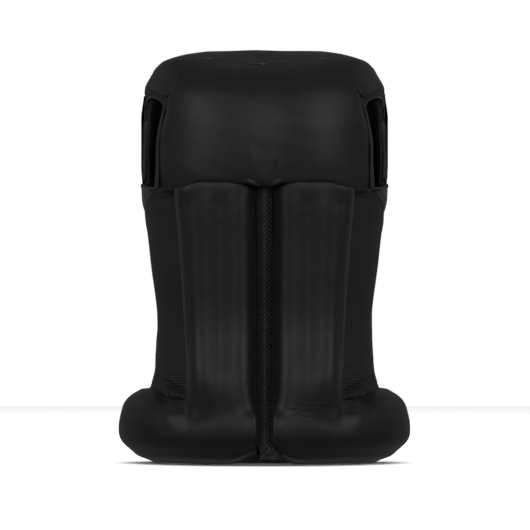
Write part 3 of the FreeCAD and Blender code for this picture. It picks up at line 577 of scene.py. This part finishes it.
def hip_loops(sign):
    """Half of the hip roll: loops round its section, from the spine to the front of the hip."""
    share = np.linspace(0, 1, 150)[:, None]
    up = np.linspace(0, 1, 36)[None]
    z = HIP_TOP * (0.5 - 0.5 * np.cos(np.pi * up))
    first = angle_at_x(ROLL, SPINE_HALF_GAP, z)
    last = angle_at_y(ROLL, 60.0, z)
    angle = first + (last - first) * share
    outer = on_ring(ROLL, angle, z, 4.0 * np.exp(-(((z - 32) / 22) ** 2)))
    inner = on_ring(TORSO, angle, z, 5.0)
    # About how far half the roll runs, in millimetres.
    run = 600
    near_spine = 0.9 + 0.1 * rounded(share * run, 22)
    near_front = rounded((1 - share) * run + 4, 48)
    full = (near_spine * near_front)[..., None]
    under = 0.45 + 0.55 * smoothstep(z, -1, 10)
    outer = inner + (outer - inner) * full * under[..., None]
    outer[..., 2] = z
    across, behind = outer[..., 0], outer[..., 1] < 40
    # The upper edge lies lower where the side panel comes down behind it.
    dip = 18.0 * smoothstep(-across, -186, -140) * smoothstep(z, 62, HIP_TOP) * behind
    outer[..., 2] += spine_lift(across, z) - dip
    inner[..., 2] -= dip
    loops = np.concatenate([outer, inner[:, ::-1]], 1)
    loops[..., 0] *= sign
    return closed_loops("hip", loops)


# Creases on both back panels, as on the right one: x and z of the two ends, the width and the height.
BACK_FOLDS = [
    ((12, 50), (38, 37), 1.5, 0.9),
    ((12, 45), (40, 30), 1.5, 1.1),
    ((12, 40), (42, 24), 1.6, 1.2),
    ((12, 34), (42, 18), 1.7, 1.2),
    ((10, 24), (60, 8), 3.6, 2.2),
    # The pull from the column's foot into the hip, and the hip's crease under the side panel.
    ((118, 100), (104, 62), 9.0, 1.5),
    ((116, 104), (166, 108), 4.0, 1.6),
    ((128, 90), (150, 60), 12.0, 1.0),
]
# The same, of thin rings round the foot of the right column only.
RIGHT_RINGS = [
    ((24, 80), (94, 73), 1.1, 0.45),
    ((24, 85), (66, 77), 1.1, 0.4),
    ((26, 90), (70, 84), 1.1, 0.4),
    ((54, 94), (100, 92), 1.1, 0.45),
    ((40, 70), (90, 67), 1.1, 0.3),
]


def soften_foot(panel):
    """Smooths the joint of a column and its hip, which is one skin there."""
    points = vertex_arrays(panel)[0]
    near = np.exp(-(((points[:, 2] - 108) / 26) ** 2)) * smoothstep(-points[:, 1], 118, 140)
    near *= 1 - smoothstep(np.abs(points[:, 0]), 104, 122)
    group = panel.vertex_groups.new(name="foot")
    for index in np.nonzero(near > 0.02)[0]:
        group.add([int(index)], float(near[index]), "REPLACE")
    smooth = panel.modifiers.new("foot", "SMOOTH")
    smooth.vertex_group = group.name
    smooth.factor = 0.9
    smooth.iterations = 90
    apply_modifiers(panel)


def back_panel(side):
    """A spine column that runs without a seam into its half of the hip roll."""
    sign = SIDES[side]
    panel = joined(f"{side}_back_panel", [column_tube(sign), hip_loops(sign)])
    remesh(panel, 2.4, 6)
    soften_foot(panel)

    def height(points, _):
        mirrored = points * (sign, 1, 1)
        total = 0.4 * waves(points, 80, 3) + 0.1 * waves(points, 24, 4)
        for start, end, width, depth in BACK_FOLDS + (RIGHT_RINGS if sign > 0 else []):
            total += fold(mirrored, start, end, width, depth)
        # An inner web draws each column into two lobes, which fade out in the hip.
        wave = np.sin(np.pi * (np.abs(points[:, 0]) - 65) / 52) ** 2
        along = smoothstep(points[:, 2], 30, 210) * (1 - 0.8 * smoothstep(points[:, 2], 385, 414))
        lobes = 5.0 * (np.sqrt(wave + 0.06) - 0.9)
        return total + lobes * along * smoothstep(-points[:, 1], 105, 130)

    displace(panel, height)
    bladder(panel, f"{side}_back_bladder", (f"{side}_spine_chamber", f"{side}_hip_chamber"), "shell")
    dress(panel, "cover_fabric", "shell", f"{side}_spine_cover", f"{side}_hip_cover", fill=PAD_FILL)


def yoke_bottom(x):
    """Height of the seam under the yoke: two shallow arcs that dip at the spine and the outer ends."""
    across = np.abs(x)
    arc = 418.5 + 3.0 * np.exp(-(((across - 68) / 38) ** 2)) - 9.0 * smoothstep(across, 95, 145)
    return arc - 7.0 * np.exp(-((across / 13) ** 2))


def yoke_top(x):
    """Height of the seam above the yoke, from the collar down to the armhole's corner."""
    rows = [
        (-40, 599), (0, 595.5), (40, 599), (80, 605), (104, 605),
        (120, 593), (135, 575), (147, 549), (165, 520),
    ]
    return interpolate(rows, np.abs(x))[..., 0]


def yoke_edge(z):
    """Half width of the yoke: straight beside the armhole, then in to its upper corner."""
    return 158.5 - 13.5 * smoothstep(z, 480, 549)


def build_yoke():
    """The inflated yoke over the shoulder blades, with its gas chamber."""
    rows, cols = 130, 170
    up = np.linspace(0, 1, rows)[:, None]
    across = np.linspace(-1, 1, cols)[None]
    x = across * 161.5 * np.ones_like(up)
    low = yoke_bottom(x)
    z = low + up * (yoke_top(x * 0.91) + 1.5 - low)
    x = across * yoke_edge(z)
    outer_y = back_y(BULGE, x, z)
    inner_y = back_y(TORSO, x, z, PLATE_DEPTH)
    beside_seam = 0.94 + 0.06 * rounded(z - low + 1.0, 8)
    beside_arm = 0.88 + 0.12 * rounded((1 - np.abs(across)) * 161, 14)
    y = inner_y + (outer_y - inner_y) * (beside_seam * beside_arm)
    y = y + SEAM_DEPTH * (1 - rounded((1 - up) * 170, 9))
    outer = np.stack([x, y, z], -1)
    inner = np.stack([x, inner_y - 0.4, z], -1)
    yoke = pad("yoke_pad", outer, inner)

    def height(points, _):
        back = points[:, 1] < -70
        bulk = 0.5 * waves(points, 110, 8) + 0.12 * waves(points, 26, 9)
        bump_up = fold(points, (-21, 474), (-13, 436), 9.0, 0.7)
        crease = fold(points, (17, 452), (16, 418), 3.0, -1.6)
        left_pleat = fold(points, (-26, 424), (-8, 414), 2.6, 1.6)
        pleats = left_pleat + fold(points, (26, 424), (8, 414), 2.6, 1.6)
        knot = np.exp(-((points[:, 0] / 11) ** 2) - ((points[:, 2] - 412) / 7) ** 2)
        pleats += knot * (2.2 * np.sin(points[:, 0] * 1.3 + points[:, 2] * 0.5) - 4)
        return back * (bulk + bump_up + crease + pleats)

    displace(yoke, height)
    bladder(yoke, "yoke_bladder", ("yoke_chamber",), "shell")
    dress(yoke, "cover_fabric", "shell", "yoke_cover", fill=PAD_FILL)


def strip_surface(x, z, grow):
    """Points on the protector plate's back, raised by a height."""
    return np.stack([x, back_y(TORSO, x, z, PLATE_DEPTH + grow), z], -1)


def build_spine_strip():
    """Spacer mesh between the columns: a lattice of open diamonds with a crumpled, twisted foot."""
    rows, cols = 820, 60
    z = np.linspace(9, 416, rows)[:, None] * np.ones((1, cols))
    across = np.linspace(-1, 1, cols)[None]
    foot = smoothstep(-z, -36, -16)
    x = across * (11.0 + 2.0 * smoothstep(-z, -70, -30)) + foot * (9.0 + 2.0 * across)
    pitch_x, pitch_z = 6.6, 6.8
    slope = (z - 9) / pitch_z + 0.35 * foot * np.sin(z / 3)
    turn = x / pitch_x
    lattice = np.cos(np.pi * (turn + slope)) * np.cos(np.pi * (turn - slope))
    hole = smoothstep(np.abs(lattice), 0.2, 0.75)
    crown = 18.0 * np.sqrt(np.clip(1 - across**2, 0, 1)) ** 1.4
    crown = crown + 16.0 * smoothstep(-z, -95, -35)
    crumple = 2.6 * np.sin((z - 0.8 * x) / 1.9) * foot
    outer = strip_surface(x, z, 4.0 + crown - 4.5 * hole + crumple)
    inner = strip_surface(x, z, np.full_like(x, 0.2))
    strip = pad("spine_strip", outer, inner)
    dress(strip, "spacer_mesh", "shell", "spine_mesh_strip")


def side_seam_y(z):
    """Where the ribbed panel ends: just under the front pad, drawn back under the armhole."""
    return SEAM_Y + 4.0 - 67.0 * smoothstep(z, 366, 417)


# Radial folds at the foot of a side panel, from the hip's crease upwards.
PANEL_FOLDS = [
    ((116, 100), (136, 112)), ((121, 98), (147, 117)), ((129, 97), (154, 123)),
    ((139, 99), (162, 127)), ((150, 103), (168, 131)), ((162, 107), (172, 126)),
]


def build_side_panel(side):
    """Ribbed stretch cloth from under the column round to the side seam."""
    sign = SIDES[side]
    z = np.linspace(84, ARMHOLE_BOTTOM - 1, 660)[:, None]
    share = np.linspace(0, 1, 70)[None]
    depth = STRETCH_DEPTH + 3.0 * np.exp(-(((z - 300) / 70) ** 2))
    first = angle_at_x(TORSO, 100.0, z, depth)
    last = angle_at_y(TORSO, side_seam_y(z), z, depth)
    angle = first + (last - first) * share
    flat = on_ring(TORSO, angle, z, depth)
    ribs = 0.26 * np.cos(2 * np.pi * (z + 0.02 * flat[..., 0]) / 4.0)
    relief = ribs
    for low, high in PANEL_FOLDS:
        relief = relief + fold(flat.reshape(-1, 3), low, high, 3.2, 4.5).reshape(relief.shape)
    flare = 9.0 * smoothstep(-z, -150, -98) * smoothstep(share, 0.2, 0.8)
    flare = flare + 4.0 * smoothstep(-z, -120, -98)
    points = on_ring(TORSO, angle, z, depth + relief + flare)
    points[..., 0] *= sign
    panel = sheet_grid(f"{side}_rib_panel", points, 1.6)
    dress_blended(panel, "ribbed_stretch", side, SIDE_SPAN, f"{side}_side_panel")


def build_underarm(side):
    """The smooth gusset that the front sends back under the armhole, and the piping along it."""
    sign = SIDES[side]
    z = np.linspace(364, ARMHOLE_BOTTOM - 1, 50)[:, None]
    share = np.linspace(0, 1, 40)[None]
    first = angle_at_y(TORSO, side_seam_y(z), z, STRETCH_DEPTH)
    last = angle_at_y(TORSO, 29.0, z, STRETCH_DEPTH)
    angle = first + (last - first) * share
    puff = 3.2 * np.sin(np.pi * share) * smoothstep(z, 366, 400)
    points = on_ring(TORSO, angle, z, STRETCH_DEPTH + 0.6 + puff)
    points[..., 0] *= sign
    gusset = sheet_grid(f"{side}_underarm_gusset_painted_highlight", points, 1.4)
    # The gusset wears the lighter binding cloth as a painted highlight, for the side light it catches.
    dress_blended(gusset, "binding_tape", side, SIDE_SPAN)
    path = points[:, 0] + np.array([sign * 0.4, -1.0, 0])
    piping = tube(f"{side}_underarm_piping", path, 1.1)
    dress_blended(piping, "binding_tape", side, SIDE_SPAN)


# ---------------------------------------------------------------------------------------------
# Neck roll and shoulders: one horseshoe, cut into three pieces
# ---------------------------------------------------------------------------------------------
# The right half from the middle of the neck to the top of the front: x, y and z on the outer seam, then
# x, y and z on the neckline.
HORSESHOE = [
    ((0, -128, 595.5), (0, -68, 611)),
    ((48, -122, 599.5), (40, -62, 611)),
    ((90, -109, 605.5), (70, -42, 611)),
    ((120, -106, 593), (79, -16, 610)),
    ((147, -99, 550), (80, 8, 606)),
    ((162, -80, 558), (79, 30, 599)),
    ((175, -50, 563), (78, 52, 589)),
    ((181, -12, 562), (77, 72, 575)),
    ((182, 34, 558), (76, 90, 557)),
    ((183, 43, 538), (76, 101, 538)),
    ((183, 43, 516), (76, 107, 516)),
]
# How far the seams lie below the inflated surface.
SEAM_DEPTH = 1.7
# Where the neck roll ends and a shoulder begins, as a share of the way from neck to front.
NECK_END = 0.26


def horseshoe(u, across):
    """The inflated roll: u runs from the neck (0) to the front (1), across from outer seam to neckline."""
    pairs = np.array(HORSESHOE, float).reshape(len(HORSESHOE), 6)
    step = 1 / (len(pairs) - 1)
    # One mirrored point before the middle keeps the roll smooth across it.
    pairs = np.vstack([pairs[1] * (-1, 1, 1, -1, 1, 1), pairs])
    table = np.column_stack([np.linspace(-step, 1, len(pairs)), pairs])
    both = interpolate(table, u)
    seam, neckline = both[:, None, :3], both[:, None, 3:]
    on_back = 1 - smoothstep(u, 0.38, 0.52)[:, None]
    seam[..., 1] += on_back * (back_y(BULGE, seam[..., 0], seam[..., 2]) + SEAM_DEPTH - seam[..., 1])
    origin = (seam + neckline) / 2
    # Below the skin, so that every ray to the outside starts in the pad.
    middle = np.array([105.0, -8.0, 520.0])
    origin = origin + (middle - origin) * 0.22
    v = np.linspace(0, 1, across)[None, :, None]
    start, stop = seam - origin, neckline - origin
    lift = -(middle - origin)
    lift = lift / np.linalg.norm(lift, axis=-1, keepdims=True)
    reach = np.linalg.norm(start, axis=-1, keepdims=True)
    ray = (1 - v) ** 2 * start + 2.4 * v * (1 - v) * reach * lift + v**2 * stop
    length = np.linalg.norm(ray, axis=-1, keepdims=True)
    ray = ray / length
    dome = cast(np.broadcast_to(origin, ray.shape), ray)
    ends = np.where(v[..., 0] < 0.5, np.linalg.norm(start, axis=-1), np.linalg.norm(stop, axis=-1))
    full = rounded(v[..., 0] * 60, 9) * rounded((1 - v[..., 0]) * 60, 14)
    radius = ends + (dome - ends) * full
    outer = origin + ray * radius[..., None]
    inner = seam + (neckline - seam) * v
    return outer, inner


def uneven_roll(name, outer, inner):
    """A part of the roll, a little uneven above its foot."""
    roll = pad(name, outer, inner)
    displace(roll, lambda points, _: 0.5 * waves(points, 60, 12) * (points[:, 2] > 525))
    return roll


def build_horseshoe():
    """The neck roll and the two shoulders, each with its gas chamber."""
    outer, inner = horseshoe(np.linspace(0, NECK_END, 70), 64)
    outer = np.concatenate([outer[:0:-1] * (-1, 1, 1), outer])
    inner = np.concatenate([inner[:0:-1] * (-1, 1, 1), inner])
    roll = uneven_roll("neck_roll", outer, inner)
    bladder(roll, "neck_bladder", ("neck_roll_chamber",), "shell")
    dress(roll, "cover_fabric", "shell", "neck_roll_cover", fill=PAD_FILL)
    outer, inner = horseshoe(np.linspace(NECK_END, 1, 110), 64)
    for side, sign in SIDES.items():
        name = f"{side}_shoulder"
        roll = uneven_roll(name, outer * (sign, 1, 1), inner * (sign, 1, 1))
        film = film_inside(roll, f"{name}_bladder")
        dress_blended(film, "chamber_film", side, ARMHOLE_SPAN, f"{name}_chamber", fill=PAD_FILL)
        dress_blended(roll, "cover_fabric", side, ARMHOLE_SPAN, f"{name}_cover", fill=PAD_FILL)


# ---------------------------------------------------------------------------------------------
# Fronts, linings and trims
# ---------------------------------------------------------------------------------------------
def front_edge_y(z):
    """The front pad's rear edge: the side seam, then the front of the armhole."""
    beside_arm = smoothstep(z, ARMHOLE_BOTTOM - 6, ARMHOLE_BOTTOM + 6)
    return SEAM_Y + 1.0 + (ARMHOLE_FRONT - SEAM_Y) * beside_arm


def build_front(side):
    """One inflated front with its gas chamber and its lining."""
    sign = SIDES[side]
    z = np.linspace(FRONT_BOTTOM, FRONT_TOP - 0.3, 170)[:, None]
    share = np.linspace(0, 1, 110)[None]

    def angles(rows, grow):
        first = angle_at_y(rows, front_edge_y(z), z, grow)
        half = ring(rows, z, grow)[0]
        return first + (np.pi - np.arcsin(17.0 / half) - first) * share

    beside_arm = smoothstep(z, ARMHOLE_BOTTOM, ARMHOLE_BOTTOM + 14)
    # About how far the pad runs round the chest, in millimetres.
    run = 300.0
    swell = 5.0 * np.exp(-((share * run / 34) ** 2)) * beside_arm
    outer = on_ring(BULGE, angles(BULGE, 0.0), z, swell)
    inner = on_ring(TORSO, angles(TORSO, 4.0), z, 4.0)
    full = (
        rounded(share * run + 2 + 9 * beside_arm, 26 - 11 * beside_arm)
        * rounded((1 - share) * run + 3, 26)
        * rounded(z - FRONT_BOTTOM + 1.5, 22)
        * (0.7 + 0.3 * rounded(FRONT_TOP - z + 1, 16))
    )
    outer = inner + (outer - inner) * full[..., None]
    outer[..., 2] = inner[..., 2]
    outer[..., 0] *= sign
    inner[..., 0] *= sign
    front = pad(f"{side}_front_pad", outer, inner)

    def height(points, _):
        # Six shallow quilt lines across the chest.
        lines = np.cos((points[:, 2] - 120) / 400 * 12 * np.pi) * smoothstep(points[:, 1], 60, 110)
        return 0.6 * waves(points, 80, 21) + 0.2 * waves(points, 25, 22) + 0.33 * lines

    displace(front, height)
    bladder(front, f"{side}_front_bladder", (f"{side}_chest_chamber",), f"{side}_front")
    dress(front, "cover_fabric", f"{side}_front", f"{side}_front_cover", fill=0.9)

    first = angle_at_y(TORSO, front_edge_y(z) + 1.0, z, LINING_DEPTH)
    last = np.pi - np.arcsin(3.0 / ring(TORSO, z, LINING_DEPTH)[0])
    lining = on_ring(TORSO, first + (last - first) * share, z, LINING_DEPTH)
    lining[..., 0] *= sign
    mesh = sheet_grid(f"{side}_front_mesh", lining, SHEET_WALL)
    dress(mesh, "mesh_lining", f"{side}_front", f"{side}_front_lining")


def build_back_lining():
    """The back's mesh lining: up to the armholes round the back, then narrower up to the collar."""
    z = np.linspace(12, ARMHOLE_BOTTOM - 0.5, 140)[:, None]
    last = angle_at_y(TORSO, SEAM_Y + 1.0, z, LINING_DEPTH)
    across = np.linspace(-1, 1, 150)[None]
    low = sheet_grid("lining_low", on_ring(TORSO, last * across, z, LINING_DEPTH), SHEET_WALL)
    z = np.arange(ARMHOLE_BOTTOM - 0.5, 606, 5.0)[:, None]
    width = np.minimum(156.0, ring(TORSO, z)[0] * 0.9)
    outside = np.linspace(0.43, 1, 18)
    x = np.concatenate([-outside[::-1], np.linspace(-0.42, 0.42, 29), outside])
    x = x[None] * width
    points = np.stack(np.broadcast_arrays(x, back_y(TORSO, x, z, LINING_DEPTH), z), -1)
    index = np.arange(points.shape[0] * points.shape[1]).reshape(points.shape[:2])
    faces = np.array(quads(index))
    middle = points.reshape(-1, 3)[faces].mean(1)
    # The opening through which the sensor box shows.
    window = (np.abs(middle[:, 0]) < 67) & (middle[:, 2] > 428) & (middle[:, 2] < 569)
    high = new_object("lining_high", points, faces[~window].tolist())
    solid = high.modifiers.new("thickness", "SOLIDIFY")
    solid.thickness = SHEET_WALL * MM
    apply_modifiers(high)
    mesh = joined("back_mesh", [low, high])
    dress(mesh, "mesh_lining", "shell", "back_lining")


# The right armhole's outer seam, where the facing leaves the yoke and the shoulder, and its inner
# edge, which carries the binding: matching points from the bottom of the back to the front.
ARMHOLE_SEAM = [
    (159.0, -88, 414), (158.5, -90, 445), (158.5, -91, 480), (154.5, -93, 508), (149.5, -97, 531),
    (145.5, -100, 549), (161.0, -80, 557.5), (175.0, -50, 562.5), (181.0, -12, 561.5), (181.5, 34, 557.5),
]
ARMHOLE_EDGE_LINE = [
    (164.5, -70, 412), (162.0, -72, 445), (161.5, -73, 480), (157.5, -75, 508), (153.0, -78, 526),
    (151.0, -80, 538), (158.0, -66, 547), (167.5, -42, 551.5), (175.0, -8, 552), (178.0, 34, 550),
]


def build_armhole_trim(side):
    """The dark facing round the back and top of an armhole, with a thin light binding on its edge."""
    sign = SIDES[side]
    seam, edge = curve_points(ARMHOLE_SEAM, 160), curve_points(ARMHOLE_EDGE_LINE, 160)
    share = np.linspace(0, 1, 12)[None, :, None]
    points = seam[:, None] + (edge - seam)[:, None] * share
    points[..., 1] += 3.0 * np.sin(np.pi * share[..., 0])
    gathers = np.sin(np.arange(160) / 2.3) * smoothstep(seam[:, 2], 540, 556)
    points[..., 2] += 0.5 * gathers[:, None] * share[..., 0]
    points[..., 0] *= sign
    facing = sheet_grid(f"{side}_armhole_tape", points, 1.4)
    dress_blended(facing, "zip_tape", side, ARMHOLE_SPAN, f"{side}_armhole_facing")
    line = edge * (sign, 1, 1) + (0, -0.6, 0)
    binding = tube(f"{side}_armhole_binding", line, 1.25)
    dress_blended(binding, "binding_tape", side, ARMHOLE_SPAN)


def build_underarm_hem(side):
    """The lower edge of the armhole: a thick dark hem, crumpled, from the yoke's corner to the front."""
    sign = SIDES[side]
    count = 90
    first = angle_at_x(TORSO, 164.0, ARMHOLE_BOTTOM, 4.0)
    last = angle_at_y(TORSO, ARMHOLE_FRONT, ARMHOLE_BOTTOM, 6.0)
    angle = np.linspace(first, last, count)
    run = np.linspace(0, 1, count)
    hem = on_ring(TORSO, angle, 411 + 7.5 * smoothstep(run, 0.0, 0.6), 4.5 + 2.5 * run)
    hem[:, 2] += 0.7 * np.sin(run * 46)
    hem[:, 0] *= sign
    under = tube(f"{side}_underarm_hem", hem, 3.4, 12)
    dress_blended(under, "zip_tape", side, HEM_SPAN)


def build_front_rim(side):
    """The front edge of the armhole, seen from behind: a gathered facing from the lining outwards, and
    a deep groove between it and the pad's edge, coloured near black as painted shade."""
    sign = SIDES[side]
    z = np.linspace(413, 556, 90)[:, None]
    share = np.linspace(0, 1, 14)[None]
    reach = 187.2 - 4.6 * smoothstep(z, 520, 565) - 2.0 * smoothstep(-z, -450, -415)
    band_x = reach - 6.0 - 3.0 * smoothstep(z, 535, 556)
    inner_x = ring(TORSO, z)[0] * np.sin(angle_at_y(TORSO, 42.0, z)) - 1.0
    x = inner_x + (band_x - inner_x) * share
    gathers = 0.7 * np.sin(x / 1.4) * smoothstep(z, 525, 552)
    y = 45.0 - 4.0 * np.sin(np.pi * share) + gathers
    points = np.stack([sign * x, y, z + 0 * share], -1)
    dress(sheet_grid(f"{side}_front_facing", points, SHEET_WALL), "zip_tape", f"{side}_front")
    # The rim wears the near-black lining colour: painted shade on the pad's edge.
    x = band_x + (reach - band_x) * share
    y = 44.0 + 12.0 * np.sin(np.pi * share) + 0 * z
    points = np.stack([sign * x, y, z + 0 * share], -1)
    dress(sheet_grid(f"{side}_front_rim_painted_shade", points, 1.6), "mesh_lining", f"{side}_front")


def band(name, rows, angles, low, high, grow, wall):
    """A soft band round a form between two heights."""
    z = np.linspace(low, high, 12)[:, None]
    swell = 0.8 * np.sin(np.pi * np.linspace(0, 1, 12))[:, None]
    points = on_ring(rows, angles[None], z, grow + swell)
    return sheet_grid(name, points, wall)


def build_bands():
    """The collar's tape, the hem under the hip roll and the hanger loop."""
    end = float(angle_at_y(TORSO, 36.0, np.array(606.0), -1.5))
    collar = band("collar_tape", TORSO, np.linspace(-end, end, 90), 597.5, 614.5, -1.8, 1.8)
    dress(collar, "binding_tape", "shell", "collar_band")
    end = float(angle_at_y(TORSO, 48.0, np.array(10.0), 1.2))
    hem = band("hem_tape", TORSO, np.linspace(-end, end, 150), 1.6, 19.0, 1.2, 2.0)
    dress(hem, "binding_tape", "shell", "bottom_hem")
    low, high = box_mm("hanger_loop")
    y = (low[1] + high[1]) / 2
    knots = [
        (low[0] + 2, y, high[2] - 2), (low[0] + 2, y, low[2] + 6), (low[0] + 9, y, low[2] + 2),
        (high[0] - 9, y, low[2] + 2), (high[0] - 2, y, low[2] + 6), (high[0] - 2, y, high[2] - 2),
    ]
    loop = tube("hanger_tape", curve_points(knots, 60), 1.5)
    dress(loop, "binding_tape", "shell", "hanger_loop")


# ---------------------------------------------------------------------------------------------
# Zip, cartridge flap and the other CAD pieces
# ---------------------------------------------------------------------------------------------
def build_zip():
    """The zip's two chains of moulded teeth, each on a cord, and its two woven tapes."""
    for side, sign in SIDES.items():
        low, high = box_mm(f"{side}_zip_chain")
        y = (low[1] + high[1]) / 2
        teeth = []
        pitch = 2.6
        count = int((high[2] - low[2]) / pitch)
        for number in range(count):
            z = low[2] + (number + (0.75 if sign > 0 else 0.25)) * pitch
            if z > high[2] - 0.9:
                break
            teeth.append(tooth(sign, y, z))
        chain = joined(f"{side}_teeth", teeth)
        cord = tube("cord", [(sign * 4.1, y, low[2]), (sign * 4.1, y, high[2])], 0.55, 6)
        dress(joined(f"{side}_chain", [chain, cord]), "zip_teeth", f"{side}_front", f"{side}_zip_chain")

        low, high = box_mm(f"{side}_zip_tape")
        inner, outer = (low[0], high[0]) if sign > 0 else (high[0], low[0])
        z = np.linspace(low[2], high[2], 160)[:, None]
        share = np.linspace(0, 1, 14)[None]
        x = inner + (outer - inner) * share + 0 * z
        weave = 0.1 * np.cos(2 * np.pi * x / 2.4) + 0.12 * np.sin(z / 19.0) * share
        points = np.stack(np.broadcast_arrays(x, y + weave, z), -1)
        tape = sheet_grid(f"{side}_tape", points, 0.6)
        dress(tape, "zip_tape", f"{side}_front", f"{side}_zip_tape")


def tooth(sign, y, z):
    """One moulded tooth: a block with a narrower waist and a rounded head."""
    outline = [(4.4, 0.8), (3.1, 0.8), (2.6, 0.55), (2.1, 0.95), (1.75, 0.7)]
    outline += [(x, -up) for x, up in reversed(outline)]
    points = [(sign * x, y + 1.25 * face, z + up) for face in (-1, 1) for x, up in outline]
    count = len(outline)
    faces = [list(range(count)), list(range(count, 2 * count))]
    faces += [[n, (n + 1) % count, (n + 1) % count + count, n + count] for n in range(count)]
    return new_object("tooth", points, faces)


def build_cartridge_flap():
    """The soft flap over the cartridge pocket, raised between its stitched edges."""
    low, high = box_mm("cartridge_flap")
    x = np.linspace(low[0], high[0], 60)[None]
    z = np.linspace(low[2], high[2], 24)[:, None]
    rim = rounded(np.minimum(x - low[0], high[0] - x) + 0.5, 6)
    rim = rim * rounded(np.minimum(z - low[2], high[2] - z) + 0.5, 6)
    outer = np.stack(np.broadcast_arrays(x, low[1] + 1.0 + 0.8 * rim, z), -1)
    inner = np.stack(np.broadcast_arrays(x, low[1] + 0.1 + 0 * rim, z), -1)
    dress(pad("flap_cloth", outer, inner), "flap_fabric", "flap", "cartridge_flap")


def finish_cad_pieces():
    """The CAD pieces that stay visible get softened edges and detailed materials."""
    slots = {part["node"]: part["material_slot"] for part in frame["record"]["subparts"]}
    for name, obj in frame["nodes"].items():
        if obj.hide_render:
            continue
        obj.data.materials.clear()
        obj.data.materials.append(MATERIALS[slots[name]])
        size = min(obj.dimensions)
        edge = obj.modifiers.new("softened", "BEVEL")
        edge.width = min(0.0006, size * 0.08)
        edge.segments = 2
        edge.limit_method = "ANGLE"
        edge.angle_limit = math.radians(40)
        edge.harden_normals = True


# ---------------------------------------------------------------------------------------------
# Studio
# ---------------------------------------------------------------------------------------------
def area_light(name, place_at, target, size, power):
    """A softbox of a size in metres and a power in watts, turned towards a target."""
    light = bpy.data.lights.new(name, "AREA")
    light.shape = "RECTANGLE"
    light.size, light.size_y = size
    light.energy = power
    obj = bpy.data.objects.new(name, light)
    bpy.context.collection.objects.link(obj)
    obj.location = place_at
    obj.rotation_euler = (Vector(target) - Vector(place_at)).to_track_quat("-Z", "Y").to_euler()
    return obj


def build_floor():
    """A pale floor with a light of its own, so that it stays near white under the dark vest."""
    half = 3.2
    corners = [(-half, -half, 0), (half, -half, 0), (half, half, 0), (-half, half, 0)]
    floor = new_object("floor", np.array(corners) / MM, [[0, 1, 2, 3]])
    floor.location.z = -0.0012
    made, shader = new_material("floor_paint", (0.9, 0.9, 0.9), 0.8)
    vary_color(made, shader, (0.9, 0.9, 0.9), 0.01, 0.4)
    floor.data.materials.append(made)
    floor.visible_glossy = False
    floor.visible_diffuse = False
    lit = bpy.data.collections.new("floor_only")
    lit.objects.link(floor)
    light = area_light("floor_light", (0, 0, 3.4), (0, 0, 0), (6.4, 6.4), 330)
    light.light_linking.receiver_collection = lit


def build_studio():
    """The floor, the softboxes, a white surround and the camera."""
    build_floor()
    area_light("front_softbox", (0, -3.4, 1.2), (0, 0, 0.35), (1.7, 1.5), 23)
    for side, sign in SIDES.items():
        area_light(f"{side}_rim", (sign * 1.7, 0.7, 1.1), (0, 0, 0.3), (0.6, 1.2), 0.8)
        area_light(f"{side}_softbox", (sign * 2.3, -1.8, 1.1), (0, 0, 0.4), (0.9, 1.3), 17.0)
    area_light("top_softbox", (0, 0.1, 2.0), (0, 0, 0.4), (1.6, 0.9), 1.7)

    world = bpy.data.worlds.new("studio")
    bpy.context.scene.world = world
    world.use_nodes = True
    nodes, links = world.node_tree.nodes, world.node_tree.links
    nodes["Background"].inputs[0].default_value = (1, 1, 1, 1)
    nodes["Background"].inputs[1].default_value = 0.14
    bright = nodes.new("ShaderNodeBackground")
    bright.inputs[0].default_value = (1, 1, 1, 1)
    bright.inputs[1].default_value = 1.0
    path = nodes.new("ShaderNodeLightPath")
    mix = nodes.new("ShaderNodeMixShader")
    links.new(path.outputs["Is Camera Ray"], mix.inputs[0])
    links.new(nodes["Background"].outputs[0], mix.inputs[1])
    links.new(bright.outputs[0], mix.inputs[2])
    links.new(mix.outputs[0], nodes["World Output"].inputs[0])

    camera = bpy.data.cameras.new("camera")
    obj = bpy.data.objects.new("camera", camera)
    bpy.context.collection.objects.link(obj)
    bpy.context.scene.camera = obj
    # A long lens, level with the middle of the frame, that takes in 803 mm at the widest part.
    distance = 8.0
    camera.lens = camera.sensor_width * distance / 0.803
    obj.location = (0.0007, -distance, 0.2986)
    obj.rotation_euler = (math.radians(90), 0, 0)
    bpy.context.scene.view_settings.view_transform = "Standard"


MATERIALS = make_materials()
for side_name in SIDES:
    back_panel(side_name)
    build_side_panel(side_name)
    build_underarm(side_name)
    build_front(side_name)
    build_armhole_trim(side_name)
    build_underarm_hem(side_name)
    build_front_rim(side_name)
build_yoke()
build_spine_strip()
build_horseshoe()
build_back_lining()
build_bands()
build_zip()
build_cartridge_flap()
finish_cad_pieces()
build_studio()
